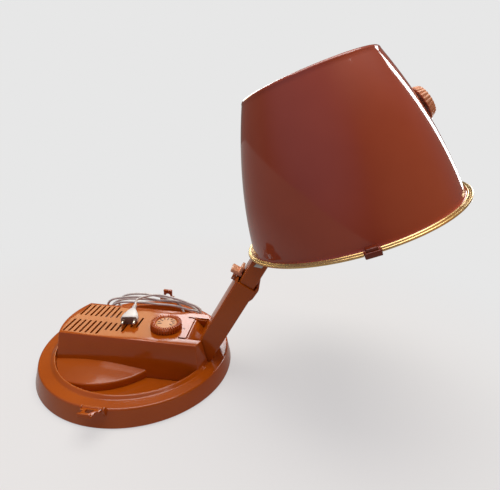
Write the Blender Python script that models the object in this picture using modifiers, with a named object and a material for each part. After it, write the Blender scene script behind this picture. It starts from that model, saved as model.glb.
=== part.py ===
"""Table-top hood hair dryer: round base with fan housing, folding telescopic arm, tilting hood.

Metres, +Z up. The origin is on the floor under the middle of the round base. +X runs along the
housing towards the arm, and -Y is the side that the user sees.
"""

import math

import bmesh
import bpy
from mathutils import Matrix, Vector

MM = 0.001

# Round base: a tub with a ledge, a low lip and a sunken tray.
BASE_FOOT_Z = 2.0 * MM
BASE_BOTTOM_R = 167.0 * MM
LEDGE_R = 160.0 * MM
LEDGE_Z = 30.0 * MM
LIP_FOOT_R = 143.0 * MM
LIP_TOP_R = 138.0 * MM
LIP_TOP_Z = 33.6 * MM
TRAY_Z = 12.0 * MM
TRAY_R = 133.0 * MM
WALL = 3.0 * MM
FOOT_R = 9.0 * MM
FOOT_RING_R = 148.0 * MM
FOOT_ANGLES = (30, 150, 210, 330)
PLATE_R = 160.0 * MM
PLATE_Z = 3.4 * MM
PLATE_T = 2.2 * MM
PLATE_SCREW_R = 120.0 * MM

# Fan scroll under the housing, and the fan in it.
FAN_X = -53.0 * MM
SCROLL_R = 113.0 * MM
SCROLL_EDGE_Z = 23.5 * MM
SCROLL_TOP_Z = 32.0 * MM
SCROLL_TOP_R = 62.0 * MM
INLET_R = 42.0 * MM
IMPELLER_R = 68.0 * MM
IMPELLER_Z = 15.0 * MM
IMPELLER_H = 11.0 * MM
BLADES = 14
MOTOR_R = 25.0 * MM
MOTOR_H = 28.0 * MM
MOTOR_Z = 38.0 * MM

# Bar-shaped housing across the base.
HOUSING_TOP_Z = 71.5 * MM
HOUSING_TOP_HALF = 52.0 * MM
HOUSING_FOOT_HALF = 68.0 * MM
HOUSING_TOP_R = 127.5 * MM
HOUSING_FOOT_R = 132.4 * MM
HOUSING_WALL = 2.4 * MM
VENT_X = -112.8 * MM
VENT_PITCH = 9.6 * MM
VENT_WIDTH = 3.4 * MM
LONG_VENT = (7.0 * MM, 45.5 * MM)
SHORT_VENT = (8.0 * MM, 33.0 * MM)
MIDDLE_VENT_HALF = 17.0 * MM

# Arm: pivot in the housing's slot, lower tube, sliding upper tube.
ARM_PIVOT = Vector((97.0 * MM, 0.0, 65.5 * MM))
ARM_LEAN = math.radians(26.4)
ARM_HALF_WIDTH = 35.0 * MM
ARM_FACE_X = 18.1 * MM
ARM_THICK = 34.8 * MM
ARM_WALL = 3.0 * MM
ARM_END = 141.0 * MM
ARM_FOOT_WORLD_Z = 32.0 * MM
ARM_BARREL_R = 3.9 * MM
PIN_R = 2.0 * MM
PIN_HOLE_R = 2.3 * MM
EAR_R = 5.6 * MM
UPPER_HALF_WIDTH = 31.5 * MM
UPPER_THICK = 24.8 * MM
UPPER_SHIFT = 1.5 * MM
UPPER_START = 24.0 * MM
UPPER_END = 236.0 * MM
SLOT_X = 84.0 * MM
SLIT_X = 82.4 * MM
TONGUE_END_X = 94.6 * MM
SLOT_HALF = 35.6 * MM
SLIT_INNER = 31.2 * MM
SLOT_FLOOR_Z = 28.0 * MM
PLAY = 0.4 * MM

# Hood: a shell of revolution in its own frame, with the rim's middle as origin.
HOOD_TILT = -0.41
HOOD_RIM = Vector((340.3 * MM, 0.0, 289.8 * MM))
HOOD_H = 210.0 * MM
HOOD_FOOT_R = 153.4 * MM
HOOD_TOP_R = 94.4 * MM
HOOD_BULGE = 9.0 * MM
HOOD_DOME = 7.0 * MM
HOOD_CORNER = 8.0 * MM
HOOD_WALL = 2.5 * MM
FLANGE_R = 160.0 * MM
FLANGE_T = 3.0 * MM
BEAD_R = 1.7 * MM
HOOD_HINGE = Vector((-122.0 * MM, 0.0, 40.6 * MM))
CATCH_HALF = 9.5 * MM
KNOB_R = 25.5 * MM
KNOB_H = 9.5 * MM
KNOB_HEIGHT = 122.0 * MM

# Dial, latches and lever.
DIAL_X, DIAL_Y = 53.0 * MM, -6.0 * MM
DIAL_R = 27.2 * MM
DIAL_H = 9.0 * MM
FLUTES = 30
LATCH_HALF = 14.0 * MM
HOOK_HALF = 9.5 * MM
LATCH_LENGTH = 24.0 * MM
LATCH_Y = 164.5 * MM
LATCH_Z = 34.0 * MM
LATCH_HANG = math.radians(74.0)
LEVER_PIVOT = Vector((13.0 * MM, 0.0, 136.5 * MM))

# Mains cord.
CORD_R = 2.2 * MM
GLAND = Vector((60.0 * MM, 84.0 * MM, TRAY_Z))
GLAND_H = 22.0 * MM
HANK_Y = 83.0 * MM
HANK_HALF = 13.0 * MM
PLUG_FACE = Vector((-13.0 * MM, -9.0 * MM, 79.9 * MM))
PLUG_TURN = math.atan2(11.7, 53.8)
PLUG_LENGTH = 36.0 * MM
PLUG_RELIEF = 20.0 * MM
PIN_PITCH = 19.0 * MM

SEGMENTS = 64

COLOURS = {
    "base_plastic": ((0.33, 0.095, 0.022), 0.28, 0.0),
    "hood_plastic": ((0.20, 0.045, 0.016), 0.12, 0.0),
    "gold_trim": ((0.72, 0.52, 0.22), 0.25, 1.0),
    "knob_plastic": ((0.42, 0.16, 0.05), 0.35, 0.0),
    "black_rubber": ((0.02, 0.02, 0.02), 0.8, 0.0),
    "steel": ((0.55, 0.55, 0.56), 0.35, 1.0),
    "mains_pins": ((0.75, 0.72, 0.66), 0.25, 1.0),
    "grey_plastic": ((0.12, 0.12, 0.12), 0.5, 0.0),
    "mica": ((0.5, 0.42, 0.3), 0.6, 0.0),
    "cord_vinyl": ((0.45, 0.42, 0.39), 0.45, 0.0),
    "plug_vinyl": ((0.7, 0.7, 0.69), 0.45, 0.0),
}


# ---- helpers -----------------------------------------------------------------------------------


def clear_scene():
    for obj in list(bpy.data.objects):
        bpy.data.objects.remove(obj, do_unlink=True)


def new_collection(name, helper=False):
    collection = bpy.data.collections.new(name)
    bpy.context.scene.collection.children.link(collection)
    collection.hide_render = helper
    return collection


def material(name):
    """The Principled material of this name, made once."""
    found = bpy.data.materials.get(name)
    if found:
        return found
    colour, roughness, metallic = COLOURS[name]
    made = bpy.data.materials.new(name)
    made.use_nodes = True
    shader = made.node_tree.nodes["Principled BSDF"]
    shader.inputs["Base Color"].default_value = (*colour, 1.0)
    shader.inputs["Roughness"].default_value = roughness
    shader.inputs["Metallic"].default_value = metallic
    return made


def place(obj, finish=None, parent=None, location=(0, 0, 0), rotation=(0, 0, 0)):
    """Links a part into the model's collection, with its material, parent and place."""
    PARTS.objects.link(obj)
    if finish:
        obj.data.materials.append(material(finish))
    obj.parent = parent
    obj.location = location
    obj.rotation_euler = rotation
    return obj


def cutter(obj):
    """Moves an object among the cutters."""
    for owner in list(obj.users_collection):
        owner.objects.unlink(obj)
    CUTTERS.objects.link(obj)
    obj.hide_render = True
    obj.display_type = "WIRE"
    return obj


def mesh_object(name, bm):
    mesh = bpy.data.meshes.new(name)
    bmesh.ops.recalc_face_normals(bm, faces=bm.faces)
    bm.to_mesh(mesh)
    bm.free()
    return bpy.data.objects.new(name, mesh)


def box(name, low, high):
    """A box between two corners, in the object's own frame."""
    low, high = Vector(low), Vector(high)
    bm = bmesh.new()
    size = Matrix.Diagonal((*(high - low), 1.0))
    bmesh.ops.create_cube(bm, size=1.0, matrix=Matrix.Translation((low + high) / 2) @ size)
    return mesh_object(name, bm)


def cylinder(name, radius, start, end, top=None, segments=32):
    """A cylinder or cone between two points on its axis."""
    start, end = Vector(start), Vector(end)
    turn = (end - start).to_track_quat("Z", "Y").to_matrix().to_4x4()
    bm = bmesh.new()
    bmesh.ops.create_cone(
        bm,
        cap_ends=True,
        segments=segments,
        radius1=radius,
        radius2=radius if top is None else top,
        depth=(end - start).length,
        matrix=Matrix.Translation((start + end) / 2) @ turn,
    )
    return mesh_object(name, bm)


def turned(name, profile, closed=False, steps=SEGMENTS):
    """A profile of (radius, height) turned round Z; it runs down the outer side."""
    bm = bmesh.new()
    points = [bm.verts.new((r, 0.0, z)) for r, z in profile]
    for a, b in zip(points, points[1:] + points[:1] if closed else points[1:]):
        bm.edges.new((a, b))
    mesh = bpy.data.meshes.new(name)
    bm.to_mesh(mesh)
    bm.free()
    obj = bpy.data.objects.new(name, mesh)
    screw = obj.modifiers.new("Turn", "SCREW")
    screw.steps = screw.render_steps = steps
    screw.use_merge_vertices = True
    screw.merge_threshold = 0.00001
    return obj


def outline(name, points, thickness):
    """A flat outline in XY, thickened both ways along Z, as a mesh."""
    curve = bpy.data.curves.new(name, "CURVE")
    curve.dimensions = "2D"
    curve.fill_mode = "BOTH"
    curve.extrude = thickness / 2
    spline = curve.splines.new("POLY")
    spline.points.add(len(points) - 1)
    for target, (x, y) in zip(spline.points, points):
        target.co = (x, y, 0.0, 1.0)
    spline.use_cyclic_u = True
    return to_mesh(bpy.data.objects.new(name, curve))


def to_mesh(source):
    """The evaluated object as a plain mesh object of the same name, its caps welded."""
    name = source.name
    bpy.context.scene.collection.objects.link(source)
    graph = bpy.context.evaluated_depsgraph_get()
    mesh = bpy.data.meshes.new_from_object(source.evaluated_get(graph))
    bpy.data.objects.remove(source, do_unlink=True)
    bm = bmesh.new()
    bm.from_mesh(mesh)
    bmesh.ops.remove_doubles(bm, verts=bm.verts, dist=0.000001)
    bmesh.ops.recalc_face_normals(bm, faces=bm.faces)
    bm.to_mesh(mesh)
    bm.free()
    mesh.name = name
    return bpy.data.objects.new(name, mesh)


def in_xz(obj, y=0.0):
    """Stands a flat outline up, so that its XY lies in XZ, in the plane of this Y."""
    obj.data.transform(Matrix.Translation((0, y, 0)) @ Matrix.Rotation(math.pi / 2, 4, "X"))
    return obj


def combine(obj, other, operation="DIFFERENCE"):
    """Cuts, joins or intersects with another mesh, by an exact Boolean modifier."""
    cutter(other)
    step = obj.modifiers.new(f"{operation.title()} {other.name}", "BOOLEAN")
    step.operation = operation
    step.solver = "EXACT"
    step.object = other
    return obj


def bevel(obj, width, segments=2, angle=35.0):
    step = obj.modifiers.new("Soft edges", "BEVEL")
    step.width = width
    step.segments = segments
    step.limit_method = "ANGLE"
    step.angle_limit = math.radians(angle)
    return obj


def tube(name, points, radius, resolution=2):
    """A tube along points, as a curve with filled ends."""
    curve = bpy.data.curves.new(name, "CURVE")
    curve.dimensions = "3D"
    curve.bevel_depth = radius
    curve.bevel_resolution = resolution
    curve.use_fill_caps = True
    spline = curve.splines.new("POLY")
    spline.points.add(len(points) - 1)
    for target, point in zip(spline.points, points):
        target.co = (*point, 1.0)
    return bpy.data.objects.new(name, curve)


def smooth_route(points, step):
    """Points at even steps along a smooth curve through the given points."""
    points = [Vector(p) for p in points]
    ends = [2 * points[0] - points[1], *points, 2 * points[-1] - points[-2]]
    fine = []
    for a, b, c, d in zip(ends, ends[1:], ends[2:], ends[3:]):
        for i in range(20):
            t = i / 20
            fine.append(
                0.5 * (2 * b + (c - a) * t + (2 * a - 5 * b + 4 * c - d) * t * t
                       + (3 * b - a - 3 * c + d) * t * t * t)
            )
    fine.append(points[-1])
    lengths = [0.0]
    for a, b in zip(fine, fine[1:]):
        lengths.append(lengths[-1] + (b - a).length)
    count = max(2, round(lengths[-1] / step))
    route, i = [], 0
    for k in range(count + 1):
        want = lengths[-1] * k / count
        while i < len(fine) - 2 and lengths[i + 1] < want:
            i += 1
        span = lengths[i + 1] - lengths[i]
        route.append(fine[i].lerp(fine[i + 1], (want - lengths[i]) / span if span else 0.0))
    return route


def arc(centre, radius, first, last, count):
    """Points on an arc of a circle in a plane, from one angle to another, in degrees."""
    angles = [math.radians(first + (last - first) * i / (count - 1)) for i in range(count)]
    return [(centre[0] + radius * math.cos(a), centre[1] + radius * math.sin(a)) for a in angles]


def empty(name, location, rotation=(0, 0, 0), parent=None):
    obj = bpy.data.objects.new(name, None)
    PARTS.objects.link(obj)
    obj.parent = parent
    obj.location = location
    obj.rotation_euler = rotation
    return obj


# ---- base --------------------------------------------------------------------------------------


def plate_screws():
    """Where the closing plate's four screws are, on the floor."""
    angles = [math.radians(79.4 + 90 * i) for i in range(4)]
    return [Vector((PLATE_SCREW_R * math.cos(a), PLATE_SCREW_R * math.sin(a), 0)) for a in angles]


def base_tray():
    """The tub: flared wall, flat ledge, low lip, sunken tray and the latches' lugs."""
    profile = [
        (0.0, TRAY_Z),
        (TRAY_R, TRAY_Z),
        (LIP_TOP_R - 2.0 * MM, LIP_TOP_Z - 0.6 * MM),
        (LIP_TOP_R - 1.2 * MM, LIP_TOP_Z),
        (LIP_TOP_R, LIP_TOP_Z - 0.2 * MM),
        (LIP_FOOT_R, LEDGE_Z),
        (LEDGE_R - 1.6 * MM, LEDGE_Z),
        (LEDGE_R - 0.4 * MM, LEDGE_Z - 0.5 * MM),
        (LEDGE_R + 0.1 * MM, LEDGE_Z - 1.7 * MM),
        (BASE_BOTTOM_R, BASE_FOOT_Z),
        (BASE_BOTTOM_R - WALL, BASE_FOOT_Z),
        (LEDGE_R - WALL, LEDGE_Z - WALL),
        (LIP_FOOT_R - 2.0 * MM, LEDGE_Z - WALL),
        (TRAY_R + 3.4 * MM, TRAY_Z - 2.5 * MM),
        (0.0, TRAY_Z - 2.5 * MM),
    ]
    tray = place(turned("base_tray", profile), "base_plastic")
    notch = box("lip_notch", (105 * MM, -37 * MM, LEDGE_Z + 0.2 * MM), (150 * MM, 37 * MM, 40 * MM))
    combine(tray, notch)
    for name, radius, low, mode in (("screw_bosses", 4.6, 5.9, "UNION"), ("screw_bores", 2.0, 3.0, "DIFFERENCE")):
        bm = bmesh.new()
        for at in plate_screws():
            high = TRAY_Z - 1.2 * MM if mode == "UNION" else TRAY_Z - 2.0 * MM
            centre = Matrix.Translation(at + Vector((0, 0, (low * MM + high) / 2)))
            bmesh.ops.create_cone(bm, cap_ends=True, segments=16, radius1=radius * MM, radius2=radius * MM,
                                  depth=high - low * MM, matrix=centre)
        combine(tray, mesh_object(name, bm), mode)
    gland_hole = cylinder("gland_hole", 5.4 * MM, GLAND - Vector((0, 0, 6 * MM)),
                          GLAND + Vector((0, 0, 6 * MM)), segments=20)
    combine(tray, gland_hole)
    for side in (-1, 1):
        for end in (-1, 1):
            x = end * (LATCH_HALF + 2.2 * MM)
            points = [
                (side * 157.5 * MM, 28.0 * MM),
                (side * 163.2 * MM, 20.0 * MM),
                (side * 167.0 * MM, 29.0 * MM),
                *arc((side * LATCH_Y, LATCH_Z), 3.4 * MM, 0 if side > 0 else 180,
                     180 if side > 0 else 0, 9),
                (side * 157.5 * MM, 31.0 * MM),
            ]
            lug = outline(f"lug_{side}_{end}", points, 3.2 * MM)
            lug.data.transform(
                Matrix.Translation((x, 0, 0))
                @ Matrix(((0, 0, 1, 0), (1, 0, 0, 0), (0, 1, 0, 0), (0, 0, 0, 1)))
            )
            combine(tray, lug, "UNION")
    for side in (-1, 1):
        hole = cylinder(f"lug_hole_{side}", 1.7 * MM, (-22 * MM, side * LATCH_Y, LATCH_Z),
                        (22 * MM, side * LATCH_Y, LATCH_Z), segments=12)
        combine(tray, hole)


def base_plate_and_feet():
    """The flat closing plate, its screws, four rubber feet on a ring and one in the middle."""
    plate = place(
        cylinder("base_plate", PLATE_R, (0, 0, PLATE_Z), (0, 0, PLATE_Z + PLATE_T), segments=SEGMENTS),
        "steel",
    )
    angles = [math.radians(degrees) for degrees in FOOT_ANGLES]
    places = [(FOOT_RING_R * math.cos(a), FOOT_RING_R * math.sin(a)) for a in angles]
    for i, (x, y) in enumerate([*places, (0.0, 0.0)]):
        foot = cylinder(f"foot_{i + 1}", FOOT_R - 1 * MM, (x, y, 0), (x, y, PLATE_Z - 0.3 * MM),
                        top=FOOT_R, segments=24)
        place(foot, "black_rubber")
    for i, at in enumerate(plate_screws()):
        hole = cylinder(f"plate_hole_{i + 1}", 2.2 * MM, at + Vector((0, 0, PLATE_Z - MM)),
                        at + Vector((0, 0, PLATE_Z + 2 * PLATE_T)), segments=12)
        combine(plate, hole)
        screw = turned(
            f"plate_screw_{i + 1}",
            [(0, 9.4 * MM), (1.7 * MM, 9.4 * MM), (1.7 * MM, PLATE_Z - 0.3 * MM),
             (3.6 * MM, PLATE_Z - 0.3 * MM), (2.8 * MM, 1.6 * MM), (0, 1.4 * MM)],
            steps=12,
        )
        place(screw, "steel", location=at)


def fan_scroll():
    """The scroll's round cover, which shows as a sloping platform in both trays."""
    t = 2.2 * MM
    profile = [
        (INLET_R, SCROLL_TOP_Z),
        (SCROLL_TOP_R, SCROLL_TOP_Z),
        (SCROLL_R - 6 * MM, SCROLL_EDGE_Z + 1.6 * MM),
        (SCROLL_R - 2.5 * MM, SCROLL_EDGE_Z),
        (SCROLL_R, TRAY_Z + 0.3 * MM),
        (SCROLL_R - t, TRAY_Z + 0.3 * MM),
        (SCROLL_R - 2.5 * MM - t, SCROLL_EDGE_Z - t),
        (SCROLL_TOP_R, SCROLL_TOP_Z - t),
        (INLET_R, SCROLL_TOP_Z - t),
    ]
    scroll = turned("fan_scroll", profile, closed=True)
    place(scroll, "base_plastic", location=(FAN_X, 0, 0))
    slope = (LIP_TOP_R - 2.0 * MM - TRAY_R) / (LIP_TOP_Z - TRAY_Z)
    low, high = TRAY_Z - 2 * MM, 45 * MM
    inside = cylinder("tray_inside", TRAY_R - 0.6 * MM + slope * (low - TRAY_Z), (0, 0, low),
                      (0, 0, high), top=TRAY_R - 0.6 * MM + slope * (high - TRAY_Z), segments=SEGMENTS)
    combine(scroll, inside, "INTERSECT")


def fan():
    """Impeller, shaft and motor on a bridge over the scroll's inlet."""
    place(cylinder("motor_body", MOTOR_R, (FAN_X, 0, MOTOR_Z), (FAN_X, 0, MOTOR_Z + MOTOR_H)), "steel")
    bridge = box("motor_bridge", (FAN_X - 8 * MM, -50 * MM, 35.6 * MM), (FAN_X + 8 * MM, 50 * MM, 37.7 * MM))
    place(bridge, "steel")
    legs = box("bridge_legs", (FAN_X - 8 * MM, -50 * MM, SCROLL_TOP_Z + 0.3 * MM),
               (FAN_X + 8 * MM, 50 * MM, 36.6 * MM))
    combine(bridge, legs, "UNION")
    between = box("bridge_gap", (FAN_X - 9 * MM, -45 * MM, 30 * MM), (FAN_X + 9 * MM, 45 * MM, 35.6 * MM))
    combine(bridge, between)
    hole = cylinder("bridge_hole", 3.4 * MM, (FAN_X, 0, 30 * MM), (FAN_X, 0, 37.9 * MM), segments=16)
    combine(bridge, hole)
    hub = cylinder("fan_impeller", 9 * MM, (0, 0, 0), (0, 0, 19 * MM), segments=24)
    place(hub, "grey_plastic", location=(FAN_X, 0, IMPELLER_Z))
    combine(hub, cylinder_at_fan("impeller_disc", IMPELLER_R, 0.0, 1.8 * MM, 48), "UNION")
    for i in range(BLADES):
        angle = 2 * math.pi * i / BLADES
        blade = box(f"blade_{i + 1}", (46 * MM, -0.8 * MM, 0.8 * MM), (66 * MM, 0.8 * MM, IMPELLER_H))
        blade.location = (FAN_X, 0, IMPELLER_Z)
        blade.data.transform(
            Matrix.Rotation(angle, 4, "Z") @ Matrix.Translation((56 * MM, 0, 0))
            @ Matrix.Rotation(0.6, 4, "Z") @ Matrix.Translation((-56 * MM, 0, 0))
        )
        combine(hub, blade, "UNION")


def cylinder_at_fan(name, radius, low, high, segments):
    """A disc on the fan's axis, at heights above the impeller's foot."""
    return cylinder(name, radius, (FAN_X, 0, IMPELLER_Z + low), (FAN_X, 0, IMPELLER_Z + high),
                    segments=segments)


# ---- housing -----------------------------------------------------------------------------------


def bar_solid(name, inset, low, high):
    """The housing's outer form between two heights, drawn in by a wall's thickness."""
    rise = (HOUSING_TOP_R - HOUSING_FOOT_R) / (HOUSING_TOP_Z - TRAY_Z)
    lean = (HOUSING_TOP_HALF - HOUSING_FOOT_HALF) / (HOUSING_TOP_Z - TRAY_Z)
    foot_r = HOUSING_FOOT_R - inset + rise * (low - TRAY_Z)
    top_r = HOUSING_FOOT_R - inset + rise * (high - TRAY_Z)
    body = cylinder(name, foot_r, (0, 0, low), (0, 0, high), top=top_r, segments=SEGMENTS)
    foot = HOUSING_FOOT_HALF - inset + lean * (low - TRAY_Z)
    top = HOUSING_FOOT_HALF - inset + lean * (high - TRAY_Z)
    bm = bmesh.new()
    bm.from_mesh(body.data)
    for side in (-1, 1):
        away = Vector((0, side * (high - low), foot - top)).normalized()
        cut = bmesh.ops.bisect_plane(
            bm, geom=bm.verts[:] + bm.edges[:] + bm.faces[:], dist=0.00001,
            plane_co=(0, side * foot, low), plane_no=away, clear_outer=True,
        )
        edges = [e for e in cut["geom_cut"] if isinstance(e, bmesh.types.BMEdge)]
        bmesh.ops.edgeloop_fill(bm, edges=edges)
    bmesh.ops.recalc_face_normals(bm, faces=bm.faces)
    bm.to_mesh(body.data)
    bm.free()
    return body


def vent_cutter():
    """All the air slots of the top, as one mesh of separate boxes."""
    bm = bmesh.new()
    for k in range(13):
        if k < 7:
            spans = [LONG_VENT, (-LONG_VENT[1], -LONG_VENT[0])]
        elif k < 11:
            spans = [SHORT_VENT, (-SHORT_VENT[1], -SHORT_VENT[0])]
        else:
            spans = [(-MIDDLE_VENT_HALF, MIDDLE_VENT_HALF)]
        for near, far in spans:
            centre = (VENT_X + k * VENT_PITCH, (near + far) / 2, HOUSING_TOP_Z)
            size = Matrix.Diagonal((VENT_WIDTH, far - near, 12 * MM, 1.0))
            bmesh.ops.create_cube(bm, size=1.0, matrix=Matrix.Translation(centre) @ size)
    return mesh_object("vents", bm)


def housing_cover():
    """The bar: a shell with vents, the dial's hole, and the arm's slot with its two slits."""
    low = TRAY_Z + 0.3 * MM
    cover = place(bar_solid("housing_cover", 0.0, low, HOUSING_TOP_Z), "base_plastic")
    bevel(cover, 1.4 * MM, 2, 50)
    cavity = bar_solid("housing_cavity", HOUSING_WALL, TRAY_Z - 4 * MM, HOUSING_TOP_Z - HOUSING_WALL)
    wall = HOUSING_WALL
    keep = box("slot_walls", (SLOT_X - wall, -SLOT_HALF - wall, TRAY_Z - 8 * MM), (160 * MM, SLOT_HALF + wall, 90 * MM))
    combine(cavity, keep)
    combine(cover, cavity)
    top = HOUSING_TOP_Z + 6 * MM
    under = HOUSING_TOP_Z - 2.0 * MM
    combine(cover, box("slot_space", (SLOT_X, -SLOT_HALF, SLOT_FLOOR_Z), (160 * MM, SLOT_HALF, under)))
    combine(cover, box("slot_mouth", (TONGUE_END_X, -SLOT_HALF, 60 * MM), (160 * MM, SLOT_HALF, top)))
    for side in (-1, 1):
        inner, outer = sorted((side * SLIT_INNER, side * SLOT_HALF))
        slit = box(f"slit_{side}", (SLIT_X, inner, 60 * MM), (130 * MM, outer, top))
        combine(cover, slit)
    combine(cover, box("air_outlet", (70 * MM, -24 * MM, 34 * MM), (88 * MM, 24 * MM, 56 * MM)))
    combine(cover, box("slot_under", (SLOT_X - 8 * MM, -SLOT_HALF - 8 * MM, TRAY_Z - 6 * MM),
                       (160 * MM, SLOT_HALF + 8 * MM, SLOT_FLOOR_Z - wall)))
    combine(cover, vent_cutter())
    pin = cylinder("pivot_holes", PIN_HOLE_R, ARM_PIVOT - Vector((0, 38.6 * MM, 0)),
                   ARM_PIVOT + Vector((0, 38.6 * MM, 0)), segments=16)
    combine(cover, pin)
    dial = cylinder("dial_hole", 3.5 * MM, (DIAL_X, DIAL_Y, 60 * MM), (DIAL_X, DIAL_Y, 80 * MM), segments=16)
    combine(cover, dial)
    room = turned("scroll_room", [(0, SCROLL_TOP_Z + 0.4 * MM), (SCROLL_TOP_R, SCROLL_TOP_Z + 0.4 * MM),
                                  (SCROLL_R - 5.5 * MM, SCROLL_EDGE_Z + 2.2 * MM),
                                  (SCROLL_R - 1.8 * MM, SCROLL_EDGE_Z), (SCROLL_R + 0.6 * MM, TRAY_Z),
                                  (SCROLL_R + 0.6 * MM, TRAY_Z - 4 * MM), (0, TRAY_Z - 4 * MM)])
    room.location = (FAN_X, 0, 0)
    combine(cover, room)


def arm_pin():
    """The pin through the slot's two walls, which the arm's barrel turns on."""
    place(cylinder("arm_pin", PIN_R, ARM_PIVOT - Vector((0, 37.6 * MM, 0)),
                   ARM_PIVOT + Vector((0, 37.6 * MM, 0)), segments=16), "steel")


def heater():
    """Crossed mica boards with a heating coil between the fan and the arm's duct."""
    centre = Vector((65 * MM, 0, 36 * MM))
    board = box("heater_frame", centre - Vector((13 * MM, 30 * MM, 0.6 * MM)),
                centre + Vector((13 * MM, 30 * MM, 0.6 * MM)))
    place(board, "mica")
    cross = box("heater_cross", centre - Vector((13 * MM, 0.6 * MM, 8.8 * MM)),
                centre + Vector((13 * MM, 0.6 * MM, 8.8 * MM)))
    combine(board, cross, "UNION")
    for side in (-1, 1):
        points = []
        turns, per_turn = 7, 12
        for i in range(turns * per_turn + 1):
            angle = 2 * math.pi * i / per_turn
            y = side * (4 * MM + 24 * MM * i / (turns * per_turn))
            points.append((centre.x + 8.5 * MM * math.cos(angle), y,
                           centre.z + 6.4 * MM + 4.4 * MM * math.sin(angle)))
        place(tube(f"heater_coil_{'front' if side < 0 else 'back'}", points, 0.7 * MM, 1), "steel")
    place(cylinder("thermal_cutout", 6 * MM, (40 * MM, 24 * MM, 34 * MM), (40 * MM, 24 * MM, 40 * MM),
                   segments=20), "steel")


def switch_and_terminals():
    """The rotary switch under the dial, and the block where the mains cord ends."""
    top = HOUSING_TOP_Z - HOUSING_WALL - 0.3 * MM
    body = box("rotary_switch", (DIAL_X - 15 * MM, DIAL_Y - 15 * MM, top - 16 * MM),
               (DIAL_X + 15 * MM, DIAL_Y + 15 * MM, top))
    place(bevel(body, 1.5 * MM, 1), "grey_plastic")
    bore = cylinder("switch_bore", 3.4 * MM, (DIAL_X, DIAL_Y, top - 12 * MM), (DIAL_X, DIAL_Y, 80 * MM),
                    segments=16)
    combine(body, bore)
    block = box("terminal_block", (8 * MM, 30 * MM, 36 * MM), (30 * MM, 42 * MM, 46 * MM))
    place(block, "grey_plastic")
    for i in range(3):
        x = 12 * MM + 7 * MM * i
        combine(block, cylinder(f"terminal_bore_{i}", 1.8 * MM, (x, 25 * MM, 41 * MM), (x, 47 * MM, 41 * MM),
                                segments=10))
    post = box("terminal_post", (10 * MM, 32 * MM, SCROLL_EDGE_Z + 7.6 * MM), (28 * MM, 40 * MM, 35.7 * MM))
    place(post, "grey_plastic")


def fluted(name, bottom_r, top_r, height, depth, flutes=FLUTES):
    """A round knob body with rounded flutes down its side."""
    points, per_flute = [], 4
    for i in range(flutes * per_flute):
        angle = 2 * math.pi * i / (flutes * per_flute)
        wave = 0.5 - 0.5 * math.cos(flutes * angle)
        points.append(((bottom_r - depth * wave) * math.cos(angle), (bottom_r - depth * wave) * math.sin(angle)))
    knob = outline(name, points, height)
    for vertex in knob.data.vertices:
        if vertex.co.z > 0:
            vertex.co.x *= top_r / bottom_r
            vertex.co.y *= top_r / bottom_r
    knob.data.transform(Matrix.Translation((0, 0, height / 2)))
    return knob


def dial():
    """The thermostat dial on its spindle; both turn together."""
    axis = empty("dial_axis", (DIAL_X, DIAL_Y, HOUSING_TOP_Z + 0.4 * MM))
    knob = place(fluted("dial_knob", DIAL_R, DIAL_R - 2.5 * MM, DIAL_H, 1.1 * MM), "knob_plastic", axis)
    recess = cylinder("dial_recess", 17 * MM, (0, 0, DIAL_H - 1.8 * MM), (0, 0, DIAL_H + 2 * MM),
                      top=20 * MM, segments=40)
    recess.parent = axis
    combine(knob, recess)
    spindle = cylinder("dial_spindle", 3.0 * MM, (0, 0, -13 * MM), (0, 0, -0.2 * MM), segments=16)
    place(spindle, "grey_plastic", axis)


# ---- arm ---------------------------------------------------------------------------------------


def duct(name, low, high, wall):
    """An open rectangular tube along Z with rounded long edges."""
    outer = box(name, low, high)
    bm = bmesh.new()
    bm.from_mesh(outer.data)
    upright = [e for e in bm.edges if abs(e.verts[0].co.z - e.verts[1].co.z) > MM]
    bmesh.ops.bevel(bm, geom=upright, offset=3.2 * MM, segments=3, profile=0.5, affect="EDGES")
    bm.to_mesh(outer.data)
    bm.free()
    inset = Vector((wall, wall, 0))
    beyond = Vector((0, 0, 20 * MM))
    bore = box(f"{name}_bore", Vector(low) + inset - beyond, Vector(high) - inset + beyond)
    return outer, bore


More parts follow.
